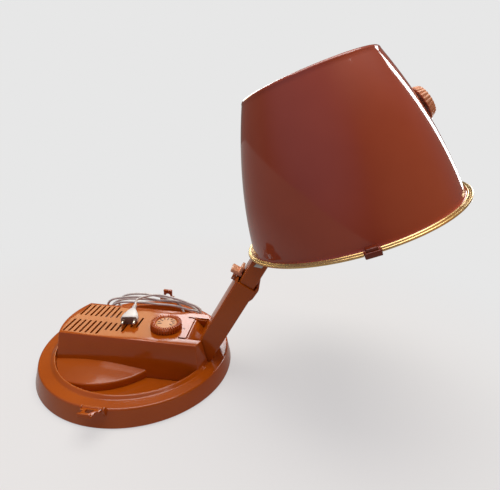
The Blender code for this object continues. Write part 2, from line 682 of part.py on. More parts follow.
def arm_lower(axis):
    """The lower duct, with two ears, a barrel and a sloping web that carry it on its pin."""
    low = (ARM_FACE_X, -ARM_HALF_WIDTH, -44 * MM)
    high = (ARM_FACE_X + ARM_THICK, ARM_HALF_WIDTH, ARM_END)
    lower, bore = duct("arm_lower_tube", low, high, ARM_WALL)
    place(lower, "base_plastic", axis)
    level = box("arm_foot_cut", (-60 * MM, -60 * MM, -60 * MM), (120 * MM, 60 * MM, 0))
    level.location = (ARM_PIVOT.x, 0, ARM_FOOT_WORLD_Z)
    combine(lower, level)
    bore.parent = axis
    combine(lower, bore)
    for side in (-1, 1):
        points = [(ARM_FACE_X + 2 * MM, -12 * MM), (ARM_FACE_X + 2 * MM, 12 * MM),
                  *arc((0, 0), EAR_R, 80, 280, 13)]
        ear = in_xz(outline(f"ear_{side}", points, 3.0 * MM), side * (ARM_HALF_WIDTH - 1.7 * MM))
        ear.parent = axis
        combine(lower, ear, "UNION")
    barrel = cylinder("arm_barrel", ARM_BARREL_R, (0, -33.5 * MM, 0), (0, 33.5 * MM, 0), segments=24)
    barrel.parent = axis
    combine(lower, barrel, "UNION")
    web = box("arm_web", (0, -33.5 * MM, -2.2 * MM), (19.5 * MM, 33.5 * MM, 0))
    web.parent = axis
    web.location = (0.9 * MM, 0, 3.5 * MM)
    web.rotation_euler = (0, math.radians(18.4), 0)
    combine(lower, web, "UNION")
    pin = cylinder("arm_bore", PIN_HOLE_R, (0, -40 * MM, 0), (0, 40 * MM, 0), segments=16)
    pin.parent = axis
    combine(lower, pin)
    for side in (-1, 1):
        lug = box(f"lever_lug_{side}", (LEVER_PIVOT.x - 3.2 * MM, side * 13.5 * MM - 1.5 * MM, LEVER_PIVOT.z - 4 * MM),
                  (ARM_FACE_X + 1.5 * MM, side * 13.5 * MM + 1.5 * MM, LEVER_PIVOT.z + 4 * MM))
        lug.parent = axis
        combine(lower, lug, "UNION")
    hole = cylinder("lever_hole", 1.3 * MM, LEVER_PIVOT - Vector((0, 16 * MM, 0)),
                    LEVER_PIVOT + Vector((0, 16 * MM, 0)), segments=12)
    hole.parent = axis
    combine(lower, hole)


def arm_collar(axis):
    """The guide collar on the lower duct's end; it stands off on the side away from the lever."""
    x = ARM_FACE_X + ARM_THICK
    points = [(x + 0.3 * MM, 118 * MM), (x + 3.6 * MM, 127 * MM), (x + 4.2 * MM, ARM_END + 3 * MM),
              (x + 2.2 * MM, ARM_END + 7 * MM), (x + 0.3 * MM, ARM_END + 7 * MM)]
    collar = in_xz(outline("arm_collar", points, 2 * ARM_HALF_WIDTH - 4 * MM))
    place(collar, "base_plastic", axis)


def arm_upper(axis):
    """The sliding duct: ears at its top carry the hood's pin."""
    middle = ARM_FACE_X + ARM_THICK / 2 + UPPER_SHIFT
    low = (middle - UPPER_THICK / 2, -UPPER_HALF_WIDTH, UPPER_START)
    high = (middle + UPPER_THICK / 2, UPPER_HALF_WIDTH, UPPER_END)
    upper, bore = duct("arm_upper_tube", low, high, 2.4 * MM)
    place(upper, "base_plastic", axis)
    bore.parent = axis
    combine(upper, bore)
    hinge = hood_pin_in_arm()
    for side in (-1, 1):
        points = [(low[0] + 2 * MM, UPPER_END - 26 * MM), (low[0] + 2 * MM, UPPER_END - 1 * MM),
                  *arc((hinge.x, hinge.z), 6.5 * MM, 60, 250, 13)]
        ear = in_xz(outline(f"upper_ear_{side}", points, 3.0 * MM), side * (UPPER_HALF_WIDTH - 1.7 * MM))
        ear.parent = axis
        combine(upper, ear, "UNION")
    pin = cylinder("upper_bore", PIN_HOLE_R, hinge - Vector((0, 40 * MM, 0)), hinge + Vector((0, 40 * MM, 0)),
                   segments=16)
    pin.parent = axis
    combine(upper, pin)


def hood_pin_in_arm():
    """Where the hood's pin is, in the arm's frame."""
    world = HOOD_RIM + Matrix.Rotation(HOOD_TILT, 3, "Y") @ HOOD_HINGE
    return Matrix.Rotation(-ARM_LEAN, 3, "Y") @ (world - ARM_PIVOT)


def release_lever(axis):
    """The T-shaped lever that frees the sliding duct, on its own small pin."""
    pivot = empty("lever_axis", LEVER_PIVOT, parent=axis)
    bar = box("release_lever", (-9.7 * MM, -11 * MM, 5.8 * MM), (10.4 * MM, 11 * MM, 12.0 * MM))
    place(bar, "knob_plastic", pivot)
    stub = box("lever_stub", (3.4 * MM, -11 * MM, 8 * MM), (7.9 * MM, 11 * MM, 22 * MM))
    stub.parent = pivot
    combine(bar, stub, "UNION")
    web = box("lever_web", (-2.8 * MM, -11 * MM, -3.2 * MM), (2.8 * MM, 11 * MM, 8 * MM))
    web.parent = pivot
    combine(bar, web, "UNION")
    bevel(bar, 0.9 * MM, 2)
    hole = cylinder("lever_bore", 1.3 * MM, (0, -20 * MM, 0), (0, 20 * MM, 0), segments=12)
    hole.parent = pivot
    combine(bar, hole)
    pin = cylinder("lever_pin", 1.05 * MM, (0, -15.2 * MM, 0), (0, 15.2 * MM, 0), segments=12)
    place(pin, "steel", pivot)


# ---- hood --------------------------------------------------------------------------------------


def hood_radius(height, inset=0.0):
    """The hood wall's outer radius at a height above the rim."""
    s = height / HOOD_H
    return HOOD_FOOT_R + (HOOD_TOP_R - HOOD_FOOT_R) * s + 4 * HOOD_BULGE * s * (1 - s) - inset


def hood_profile(inset, foot, count=9):
    """The wall, corner and domed top from the top's middle down to a height, drawn in."""
    corner = HOOD_CORNER - inset * 0.6
    knee = HOOD_H - inset - corner
    middle = hood_radius(knee, inset) - corner
    rise = HOOD_DOME
    points = [(0.0, HOOD_H - inset + rise)]
    for i in (1, 2, 3):
        r = middle * i / 4
        points.append((r, HOOD_H - inset + rise * (1 - (i / 4) ** 2)))
    points += arc((middle, knee), corner, 90, 0, 5)
    for i in range(1, count + 1):
        z = knee + (foot - knee) * i / count
        points.append((hood_radius(z, inset), z))
    return points


def hood_shell(axis):
    """The glossy shell with a flat flange at its rim and a hole for the knob's spindle."""
    outer = hood_profile(0.0, FLANGE_T + 2.5 * MM)
    inner = hood_profile(HOOD_WALL, 0.8 * MM)
    flange = [
        (hood_radius(FLANGE_T) + 1.0 * MM, FLANGE_T + 0.6 * MM),
        (FLANGE_R - 0.6 * MM, FLANGE_T),
        (FLANGE_R, FLANGE_T - 0.6 * MM),
        (FLANGE_R, 0.6 * MM),
        (FLANGE_R - 0.6 * MM, 0.0),
        (hood_radius(0.0, HOOD_WALL) + 0.6 * MM, 0.0),
    ]
    shell = turned("hood_shell", outer + flange + inner[::-1])
    place(shell, "hood_plastic", axis, location=-HOOD_HINGE)
    hole = cylinder("spindle_hole", 4.4 * MM, (0, 0, -12 * MM), (0, 0, 12 * MM), segments=20)
    hole.parent = axis
    hole.matrix_local = knob_frame(-HOOD_WALL / 2)
    combine(shell, hole)


def knob_frame(stand_off):
    """The frame of the hood's knob: Z runs out of the wall, opposite the arm."""
    s = KNOB_HEIGHT / HOOD_H
    slope = (HOOD_TOP_R - HOOD_FOOT_R + 4 * HOOD_BULGE * (1 - 2 * s)) / HOOD_H
    out = math.atan(-slope)
    foot = Vector((hood_radius(KNOB_HEIGHT), 0, KNOB_HEIGHT)) - HOOD_HINGE
    turn = Matrix.Rotation(math.pi / 2 - out, 4, "Y")
    return Matrix.Translation(foot) @ turn @ Matrix.Translation((0, 0, stand_off))


def rim_bead(axis):
    """The gold trim round the flange, in two halves that leave room for the catches."""
    start = math.asin((CATCH_HALF + 0.4 * MM) / FLANGE_R)
    major = FLANGE_R + BEAD_R + 0.3 * MM
    for name, side in (("rim_bead_right", 1), ("rim_bead_left", -1)):
        first, last = -math.pi / 2 + start, math.pi / 2 - start
        count = 37
        points = []
        for i in range(count):
            a = first + (last - first) * i / (count - 1)
            points.append((side * major * math.cos(a), major * math.sin(a), FLANGE_T / 2))
        place(tube(name, points, BEAD_R), "gold_trim", axis, location=-HOOD_HINGE)


def hood_catches(axis):
    """The two blocks on the rim that the base's latches hook over."""
    for name, side in (("hood_catch_front", -1), ("hood_catch_back", 1)):
        near, far = sorted((side * (FLANGE_R + 0.35 * MM), side * (FLANGE_R + 4.6 * MM)))
        catch = box(name, (-CATCH_HALF, near, -3.5 * MM), (CATCH_HALF, far, 8.0 * MM))
        place(bevel(catch, 0.9 * MM, 2), "base_plastic", axis, location=-HOOD_HINGE)


def hood_bracket(axis):
    """The block on the wall's inside that turns on the hood's pin."""
    h = HOOD_HINGE
    bracket = box("hood_bracket", (h.x - 30 * MM, -27.0 * MM, h.z - 9 * MM), (h.x, 27.0 * MM, h.z + 9 * MM))
    place(bracket, "base_plastic", axis, location=-HOOD_HINGE)
    barrel = cylinder("bracket_barrel", 6.2 * MM, (h.x, -27 * MM, h.z), (h.x, 27 * MM, h.z), segments=24)
    barrel.parent, barrel.location = axis, -HOOD_HINGE
    combine(bracket, barrel, "UNION")
    inset = HOOD_WALL + 0.3 * MM
    profile = [(0, 75 * MM)] + [(hood_radius(z * MM, inset), z * MM) for z in (75, 60, 45, 30, 15, 5)]
    room = turned("bracket_room", profile + [(0, 5 * MM)])
    room.parent, room.location = axis, -HOOD_HINGE
    combine(bracket, room, "INTERSECT")
    hole = cylinder("bracket_bore", PIN_HOLE_R, (h.x, -40 * MM, h.z), (h.x, 40 * MM, h.z), segments=16)
    hole.parent, hole.location = axis, -HOOD_HINGE
    combine(bracket, hole)
    pin = cylinder("hood_pin", PIN_R, (0, -31.2 * MM, 0), (0, 31.2 * MM, 0), segments=16)
    place(pin, "steel", axis)


def hood_liner(axis):
    """The perforated inner shell that spreads the warm air over the head."""
    inset = HOOD_WALL + 11 * MM
    low = 80 * MM
    outer = [(hood_radius(z, inset), z) for z in (low + (188 * MM - low) * i / 5 for i in range(5, -1, -1))]
    t = 1.6 * MM
    lip = hood_radius(low, HOOD_WALL + 1.1 * MM)
    profile = [(0, 192 * MM), (hood_radius(188 * MM, inset + 8 * MM), 192 * MM), *outer[:-1],
               (hood_radius(low, inset), low + t), (lip - 0.2 * MM, low + t), (lip, low),
               (hood_radius(low, inset + t), low),
               *[(r - t, z) for r, z in reversed(outer[:-1])],
               (hood_radius(188 * MM, inset + 9 * MM), 192 * MM - t), (0, 192 * MM - t)]
    liner = turned("air_liner", profile, steps=48)
    place(liner, "knob_plastic", axis, location=-HOOD_HINGE)
    bm = bmesh.new()
    for ring, (radius, count) in enumerate(((22 * MM, 6), (44 * MM, 10), (64 * MM, 14))):
        for i in range(count):
            a = 2 * math.pi * (i + 0.5 * (ring % 2)) / count
            at = Matrix.Translation((radius * math.cos(a), radius * math.sin(a), 191 * MM))
            bmesh.ops.create_cone(bm, cap_ends=True, segments=8, radius1=3.2 * MM, radius2=3.2 * MM,
                                  depth=14 * MM, matrix=at)
    holes = mesh_object("liner_holes", bm)
    holes.parent, holes.location = axis, -HOOD_HINGE
    combine(liner, holes)


def hood_knob(axis):
    """The fluted knob on the hood's wall, with its spindle and the vent disc behind the wall."""
    frame = empty("hood_knob_axis", (0, 0, 0), parent=axis)
    frame.matrix_local = knob_frame(0.0)
    stand = 3.0 * MM
    knob = fluted("hood_knob", KNOB_R, KNOB_R - 5 * MM, KNOB_H, 1.4 * MM, 28)
    place(knob, "knob_plastic", frame, location=(0, 0, stand))
    back = cylinder("knob_hollow", KNOB_R - 4 * MM, (0, 0, -MM), (0, 0, 2.6 * MM), segments=32)
    back.parent, back.location = frame, (0, 0, stand)
    combine(knob, back)
    boss = cylinder("knob_boss", 7 * MM, (0, 0, -1.2 * MM), (0, 0, 4 * MM), segments=20)
    boss.parent, boss.location = frame, (0, 0, stand)
    combine(knob, boss, "UNION")
    place(cylinder("hood_knob_spindle", 4.0 * MM, (0, 0, -7.4 * MM), (0, 0, stand - 1.5 * MM), segments=20),
          "grey_plastic", frame)
    disc = cylinder("vent_disc", 9 * MM, (0, 0, -9.2 * MM), (0, 0, -7.7 * MM), segments=24)
    place(disc, "grey_plastic", frame)


# ---- latches -----------------------------------------------------------------------------------


def latches():
    """Two hinged latches on the ledge: the front one lies outwards, the back one stands up."""
    for name, side, turn in (("front", -1, LATCH_HANG), ("back", 1, 0.0)):
        pivot = empty(f"latch_{name}_axis", (0, side * LATCH_Y, LATCH_Z), (turn * -side, 0, 0))
        latch = box(f"latch_{name}", (-LATCH_HALF, -1.3 * MM, 0), (LATCH_HALF, 1.3 * MM, 9 * MM))
        place(latch, "base_plastic", pivot)
        blade = box(f"latch_blade_{name}", (-HOOK_HALF, -1.3 * MM, 5 * MM), (HOOK_HALF, 1.3 * MM, LATCH_LENGTH))
        blade.parent = pivot
        combine(latch, blade, "UNION")
        barrel = cylinder(f"latch_barrel_{name}", 3.0 * MM, (-LATCH_HALF, 0, 0), (LATCH_HALF, 0, 0), segments=20)
        barrel.parent = pivot
        combine(latch, barrel, "UNION")
        inward = -side
        near, far = sorted((0.0, inward * 4.4 * MM))
        hook = box(f"latch_hook_{name}", (-HOOK_HALF, near, LATCH_LENGTH - 4 * MM),
                   (HOOK_HALF, far, LATCH_LENGTH))
        hook.parent = pivot
        combine(latch, hook, "UNION")
        window = box(f"latch_window_{name}", (-5.5 * MM, -9 * MM, 7 * MM), (5.5 * MM, 9 * MM, 16 * MM))
        window.parent = pivot
        combine(latch, window)
        bore = cylinder(f"latch_bore_{name}", 1.7 * MM, (-20 * MM, 0, 0), (20 * MM, 0, 0), segments=12)
        bore.parent = pivot
        combine(latch, bore)
        pin = cylinder(f"latch_pin_{name}", 1.4 * MM, (-17.6 * MM, side * LATCH_Y, LATCH_Z),
                       (17.6 * MM, side * LATCH_Y, LATCH_Z), segments=12)
        place(pin, "steel")


# ---- mains cord --------------------------------------------------------------------------------


def cord_gland():
    """The strain relief in the tray's floor that the cord comes up through."""
    profile = [(CORD_R + 0.3 * MM, GLAND_H), (CORD_R + 1.4 * MM, GLAND_H), (CORD_R + 3.0 * MM, 4 * MM),
               (8 * MM, 3 * MM), (8 * MM, 0.3 * MM), (5.1 * MM, 0.3 * MM), (5.1 * MM, -4 * MM),
               (CORD_R + 0.3 * MM, -4 * MM)]
    place(turned("cord_gland", profile, closed=True, steps=20), "black_rubber", location=GLAND)


def cord_hank():
    """The wound part of the cord, standing in the back tray behind the housing."""
    points = [
        *arc((-83 * MM, 54 * MM), 22.4 * MM, 270, 90, 11),
        (11.6 * MM, 77 * MM),
        (12.0 * MM, 86 * MM),
        (36.0 * MM, 86 * MM),
        (60.0 * MM, 78 * MM),
        *arc((69 * MM, 57 * MM), 17 * MM, 60, -90, 9),
    ]
    hank = in_xz(outline("cord_hank", points, 2 * HANK_HALF), HANK_Y)
    place(hank, "cord_vinyl")


def cord_leads():
    """The free stretch from the plug to the hank, and the short one from the hank to the gland."""
    turn = Matrix.Rotation(PLUG_TURN, 3, "Z")
    tail = PLUG_FACE + turn @ Vector((0, PLUG_LENGTH + PLUG_RELIEF + 0.3 * MM, 0))
    route = [
        tail,
        tail + turn @ Vector((0, 8 * MM, 0.3 * MM)),
        (-25.5 * MM, 63.0 * MM, 84.6 * MM),
        (-20.5 * MM, 72.0 * MM, 84.4 * MM),
        (-11.0 * MM, 78.5 * MM, 83.8 * MM),
        (1.0 * MM, 81.0 * MM, 82.4 * MM),
        (11.5 * MM, 81.3 * MM, 81.6 * MM),
    ]
    place(tube("cord_lead", smooth_route(route, 6 * MM), CORD_R), "cord_vinyl")
    foot = GLAND - Vector((0, 0, 3.5 * MM))
    place(tube("cord_entry", [foot, Vector((GLAND.x, GLAND.y, 24 * MM)), Vector((GLAND.x, GLAND.y, 39.0 * MM))],
               CORD_R), "cord_vinyl")


def plug():
    """The two-pin plug lying on the housing, pins towards the front."""
    frame = empty("plug_frame", PLUG_FACE, (0, 0, PLUG_TURN))
    bm = bmesh.new()
    sections = ((0.0, 13.8, 7.4), (2.5, 14.6, 8.1), (12.0, 14.0, 7.9), (26.0, 8.6, 6.6), (34.0, 5.2, 5.2),
                (37.0, 4.0, 4.0), (56.0, 2.9, 2.9))
    rings = []
    for y, half_x, half_z in sections:
        size = Matrix.Diagonal((half_x * MM, half_z * MM, 1.0, 1.0))
        turn = Matrix.Translation((0, y * MM, 0)) @ Matrix.Rotation(math.pi / 2, 4, "X")
        ring = bmesh.ops.create_circle(bm, segments=28, radius=1.0, matrix=turn @ size)["verts"]
        rings.append(list({edge for vertex in ring for edge in vertex.link_edges}))
    for a, b in zip(rings, rings[1:]):
        bmesh.ops.bridge_loops(bm, edges=a + b)
    for ring in (rings[0], rings[-1]):
        bmesh.ops.contextual_create(bm, geom=ring)
    body = mesh_object("plug_body", bm)
    place(body, "plug_vinyl", frame)
    for i, side in ((1, -1), (2, 1)):
        x = side * PIN_PITCH / 2
        pin = cylinder(f"plug_pin_{i}", 2.0 * MM, (x, -19 * MM, 0), (x, -0.3 * MM, 0), segments=14)
        place(bevel(pin, 0.8 * MM, 2), "mains_pins", frame)


# ---- the whole ---------------------------------------------------------------------------------


def build():
    base_tray()
    base_plate_and_feet()
    fan_scroll()
    fan()
    housing_cover()
    arm_pin()
    heater()
    switch_and_terminals()
    dial()
    latches()
    arm = empty("arm_axis", ARM_PIVOT, (0, ARM_LEAN, 0))
    arm_lower(arm)
    arm_collar(arm)
    arm_upper(arm)
    release_lever(arm)
    hinge = HOOD_RIM + Matrix.Rotation(HOOD_TILT, 3, "Y") @ HOOD_HINGE
    hood = empty("hood_axis", hinge, (0, HOOD_TILT, 0))
    hood_shell(hood)
    rim_bead(hood)
    hood_catches(hood)
    hood_bracket(hood)
    hood_liner(hood)
    hood_knob(hood)
    cord_gland()
    cord_hank()
    cord_leads()
    plug()


clear_scene()
PARTS = new_collection("hair_dryer")
CUTTERS = new_collection("cutters", helper=True)
build()
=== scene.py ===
"""Table-top hood hair dryer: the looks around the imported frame.

Every length in the builders is in millimetres, in the row frame: the origin is on the table under
the middle of the round base, +X runs towards the arm, -Y is the user's side and +Z is up. Meshes
are turned into metres in one place, :func:`to_object`.
"""

from __future__ import annotations

import logging
import math
from dataclasses import dataclass, field
from enum import Enum

import bmesh
import bpy
from mathutils import Matrix, Vector


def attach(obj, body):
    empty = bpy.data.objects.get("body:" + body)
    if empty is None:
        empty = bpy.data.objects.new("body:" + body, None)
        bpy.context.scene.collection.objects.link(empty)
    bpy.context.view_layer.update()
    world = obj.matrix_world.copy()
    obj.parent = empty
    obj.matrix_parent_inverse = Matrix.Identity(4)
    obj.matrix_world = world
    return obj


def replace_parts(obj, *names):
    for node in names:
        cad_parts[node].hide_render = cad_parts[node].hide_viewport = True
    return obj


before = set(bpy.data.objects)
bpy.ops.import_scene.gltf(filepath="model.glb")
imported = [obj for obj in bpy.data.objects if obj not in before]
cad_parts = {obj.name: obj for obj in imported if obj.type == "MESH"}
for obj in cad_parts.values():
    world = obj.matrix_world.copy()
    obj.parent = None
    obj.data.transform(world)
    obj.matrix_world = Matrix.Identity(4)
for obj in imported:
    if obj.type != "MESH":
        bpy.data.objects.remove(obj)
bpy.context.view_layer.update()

LOG = logging.getLogger("hood_dryer")
MM = 0.001
Mesh = bmesh.types.BMesh
Point = tuple[float, float, float]
Profile = list[tuple[float, float]]


class Axis(Enum):
    """The plane that a flat outline is drawn in, by the axis it is thickened along."""

    Y = "Y"
    Z = "Z"


class Operation(Enum):
    """What a Boolean does with the other mesh."""

    CUT = "DIFFERENCE"
    JOIN = "UNION"
    KEEP = "INTERSECT"


# ---- meshes ----


def turn_about(axis: str, degrees: float) -> Matrix:
    """Returns a rotation about a main axis."""
    return Matrix.Rotation(math.radians(degrees), 4, axis)


def arc(centre: tuple[float, float], radius: float, first: float, last: float, count: int) -> Profile:
    """Returns points on a circle's arc between two angles in degrees."""
    steps = [math.radians(first + (last - first) * i / (count - 1)) for i in range(count)]
    return [(centre[0] + radius * math.cos(a), centre[1] + radius * math.sin(a)) for a in steps]


def rounded(corners: list[Point], count: int = 4) -> Profile:
    """Returns a line through corners, each rounded by its own radius.

    Args:
        corners: (x, y, radius) of each corner; the first and the last stay sharp.
        count: how many points each rounding has.
    """
    points = [corners[0][:2]]
    for before, here, after in zip(corners, corners[1:], corners[2:]):
        at, radius = Vector(here[:2]), here[2]
        one, two = Vector(before[:2]) - at, Vector(after[:2]) - at
        reach = min(radius, one.length * 0.49, two.length * 0.49)
        if reach < 0.02:
            points.append(here[:2])
            continue
        one, two = at + one.normalized() * reach, at + two.normalized() * reach
        for i in range(count + 1):
            t = i / count
            spot = one * (1 - t) ** 2 + at * 2 * t * (1 - t) + two * t * t
            points.append((spot.x, spot.y))
    points.append(corners[-1][:2])
    return points


def lathe(profile: Profile, steps: int = 180) -> Mesh:
    """Returns a (radius, height) profile spun once round Z."""
    bm = bmesh.new()
    verts = [bm.verts.new((r, 0.0, z)) for r, z in profile]
    edges = [bm.edges.new(pair) for pair in zip(verts, verts[1:])]
    bmesh.ops.spin(bm, geom=verts + edges, cent=(0, 0, 0), axis=(0, 0, 1), angle=2 * math.pi,
                   steps=steps, use_merge=True)
    bmesh.ops.remove_doubles(bm, verts=bm.verts, dist=0.0005)
    bmesh.ops.recalc_face_normals(bm, faces=bm.faces)
    return bm


def block(low: Point, high: Point) -> Mesh:
    """Returns a box between two corners."""
    low, high = Vector(low), Vector(high)
    bm = bmesh.new()
    bmesh.ops.create_cube(bm, size=1.0, matrix=Matrix.Translation((low + high) / 2)
                          @ Matrix.Diagonal((*(high - low), 1.0)))
    return bm


def rod(start: Vector, end: Vector, radius: float, top: float | None = None,
        segments: int = 48) -> Mesh:
    """Returns a cylinder or a cone between two points."""
    start, end = Vector(start), Vector(end)
    bm = bmesh.new()
    turn = (end - start).to_track_quat("Z", "Y").to_matrix().to_4x4()
    bmesh.ops.create_cone(bm, cap_ends=True, segments=segments, radius1=radius,
                          radius2=radius if top is None else top, depth=(end - start).length,
                          matrix=Matrix.Translation((start + end) / 2) @ turn)
    return bm


def prism(points: Profile, thickness: float, axis: Axis = Axis.Z) -> Mesh:
    """Returns a flat outline thickened both ways along Z, or stood up in XZ and along Y."""
    bm = bmesh.new()
    face = bm.faces.new([bm.verts.new((x, y, -thickness / 2)) for x, y in points])
    made = bmesh.ops.extrude_face_region(bm, geom=[face])["geom"]
    risen = [v for v in made if isinstance(v, bmesh.types.BMVert)]
    bmesh.ops.translate(bm, vec=(0, 0, thickness), verts=risen)
    if axis is Axis.Y:
        bmesh.ops.transform(bm, matrix=turn_about("X", 90), verts=bm.verts)
    bmesh.ops.recalc_face_normals(bm, faces=bm.faces)
    return bm


def moved(bm: Mesh, matrix: Matrix) -> Mesh:
    """Returns the same mesh, transformed."""
    bmesh.ops.transform(bm, matrix=matrix, verts=bm.verts)
    return bm


def soften(bm: Mesh, width: float, segments: int = 3, above: float = 30.0) -> Mesh:
    """Rounds every edge that bends more than an angle in degrees."""
    limit = math.radians(above)
    edges = [e for e in bm.edges if len(e.link_faces) == 2 and e.calc_face_angle(0.0) > limit]
    bmesh.ops.bevel(bm, geom=edges, offset=width, segments=segments, profile=0.5, affect="EDGES",
                    material=-1, clamp_overlap=True)
    return bm


def merged(*parts: Mesh) -> Mesh:
    """Returns one mesh that holds all of these, unjoined."""
    whole = bmesh.new()
    for part in parts:
        mesh = bpy.data.meshes.new("part")
        part.to_mesh(mesh)
        part.free()
        whole.from_mesh(mesh)
        bpy.data.meshes.remove(mesh)
    return whole


def boolean(bm: Mesh, other: Mesh, operation: Operation = Operation.CUT) -> Mesh:
    """Returns the exact Boolean of two closed meshes; both are used up."""
    pair = []
    for part in (bm, other):
        mesh = bpy.data.meshes.new("operand")
        bmesh.ops.recalc_face_normals(part, faces=part.faces)
        part.to_mesh(mesh)
        part.free()
        pair.append(bpy.data.objects.new("operand", mesh))
        bpy.context.scene.collection.objects.link(pair[-1])
    step = pair[0].modifiers.new("step", "BOOLEAN")
    step.operation, step.solver, step.object = operation.value, "EXACT", pair[1]
    graph = bpy.context.evaluated_depsgraph_get()
    result = bmesh.new()
    result.from_object(pair[0], graph)
    for obj in pair:
        mesh = obj.data
        bpy.data.objects.remove(obj, do_unlink=True)
        bpy.data.meshes.remove(mesh)
    return result


def to_object(name: str, bm: Mesh, material: bpy.types.Material,
              sharp: float = 32.0) -> bpy.types.Object:
    """Turns a mesh in millimetres into an object at the origin, shaded smooth between sharp edges.

    Args:
        name: the piece's name.
        bm: the mesh, in millimetres; it is used up.
        material: its finish.
        sharp: the angle in degrees from which an edge stays sharp.
    """
    bmesh.ops.scale(bm, vec=(MM, MM, MM), verts=bm.verts)
    mesh = bpy.data.meshes.new(name)
    bm.to_mesh(mesh)
    bm.free()
    mesh.materials.append(material)
    mesh.polygons.foreach_set("use_smooth", [True] * len(mesh.polygons))
    mesh.set_sharp_from_angle(angle=math.radians(sharp))
    obj = bpy.data.objects.new(name, mesh)
    bpy.context.scene.collection.objects.link(obj)
    return obj


# ---- finishes ----


def linear(code: str) -> tuple[float, float, float, float]:
    """Returns the linear colour of an sRGB hex code."""
    parts = [int(code[i:i + 2], 16) / 255 for i in (1, 3, 5)]
    return (*[p / 12.92 if p <= 0.04045 else ((p + 0.055) / 1.055) ** 2.4 for p in parts], 1.0)


def add(tree: bpy.types.NodeTree, kind: str, **settings: object) -> bpy.types.ShaderNode:
    """Adds a node; a setting is a property, or else an input that takes a value or a link."""
    node = tree.nodes.new(kind)
    for name, value in settings.items():
        if hasattr(node, name):
            setattr(node, name, value)
            continue
        key = name.replace("_", " ").title() if not name[0].isupper() else name.replace("_", " ")
        socket = node.inputs[int(name[1:])] if name[0] == "i" and name[1:].isdigit() else node.inputs[key]
        if isinstance(value, bpy.types.NodeSocket):
            tree.links.new(value, socket)
        else:
            socket.default_value = value
    return node


def blend(tree: bpy.types.NodeTree, share: object, one: object, other: object) -> bpy.types.NodeSocket:
    """Returns the colour between two colours, by a share from 0 to 1."""
    return add(tree, "ShaderNodeMix", data_type="RGBA", i0=share, i6=one, i7=other).outputs[2]


def ramp(tree: bpy.types.NodeTree, value: bpy.types.NodeSocket, smooth: bool = True,
         **span: float) -> bpy.types.NodeSocket:
    """Returns a value carried from one range to another, by From_Min, From_Max, To_Min and To_Max."""
    kind = "SMOOTHSTEP" if smooth else "LINEAR"
    return add(tree, "ShaderNodeMapRange", interpolation_type=kind, Value=value, **span).outputs[0]


@dataclass(frozen=True)
class Finish:
    """A moulded or metal surface with its grain, wear and small unevenness.

    Attributes:
        name: the real material and process.
        colour: hex sRGB of the clean surface.
        shade: hex sRGB of its cloudier, worn areas.
        roughness: of the clean surface.
        metallic: 1 for bare metal.
        cloud: size of the colour's clouds, in millimetres.
        grain: size of the surface's fine grain, in millimetres.
        relief: depth of the grain, in millimetres.
        scuffs: strength of the roughness marks.
        coat: weight of the clear gloss over it.
        specular: level of the surface's own mirror reflection, 0.5 for a plain polymer.
        flow: stretches the marks along Z, as wiping and moulding do.
    """

    name: str
    colour: str
    shade: str
    roughness: float
    metallic: float = 0.0
    cloud: float = 45.0
    grain: float = 1.2
    relief: float = 0.01
    scuffs: float = 0.12
    coat: float = 0.0
    specular: float = 0.5
    flow: float = 1.0

    def make(self) -> bpy.types.Material:
        """Returns the material, made once."""
        found = bpy.data.materials.get(self.name)
        if found:
            return found
        material = bpy.data.materials.new(self.name)
        material.use_nodes = True
        tree = material.node_tree
        shader = tree.nodes["Principled BSDF"]
        place = add(tree, "ShaderNodeTexCoord").outputs["Object"]
        stretch = add(tree, "ShaderNodeMapping", vector_type="POINT", Vector=place,
                      Scale=(1.0, 1.0, 1.0 / self.flow)).outputs[0]
        clouds = add(tree, "ShaderNodeTexNoise", Vector=place, Scale=1 / (self.cloud * MM), Detail=3.0,
                     Roughness=0.55).outputs["Fac"]
        clouds = ramp(tree, clouds, False, From_Min=0.35, From_Max=0.7)
        tint = blend(tree, clouds, linear(self.colour), linear(self.shade))
        marks = add(tree, "ShaderNodeTexNoise", Vector=stretch, Scale=1 / (9 * MM), Detail=6.0,
                    Roughness=0.7).outputs["Fac"]
        marks = ramp(tree, marks, False, From_Min=0.42, From_Max=0.72, To_Min=self.roughness,
                     To_Max=self.roughness + self.scuffs)
        fine = add(tree, "ShaderNodeTexNoise", Vector=place, Scale=1 / (self.grain * MM),
                   Detail=2.0).outputs["Fac"]
        bump = add(tree, "ShaderNodeBump", Height=fine, Strength=0.5, Distance=self.relief * MM).outputs[0]
        tree.links.new(tint, shader.inputs["Base Color"])
        tree.links.new(marks, shader.inputs["Roughness"])
        tree.links.new(bump, shader.inputs["Normal"])
        shader.inputs["Metallic"].default_value = self.metallic
        shader.inputs["Specular IOR Level"].default_value = self.specular
        shader.inputs["Coat Weight"].default_value = self.coat
        shader.inputs["Coat Roughness"].default_value = 0.04
        return material


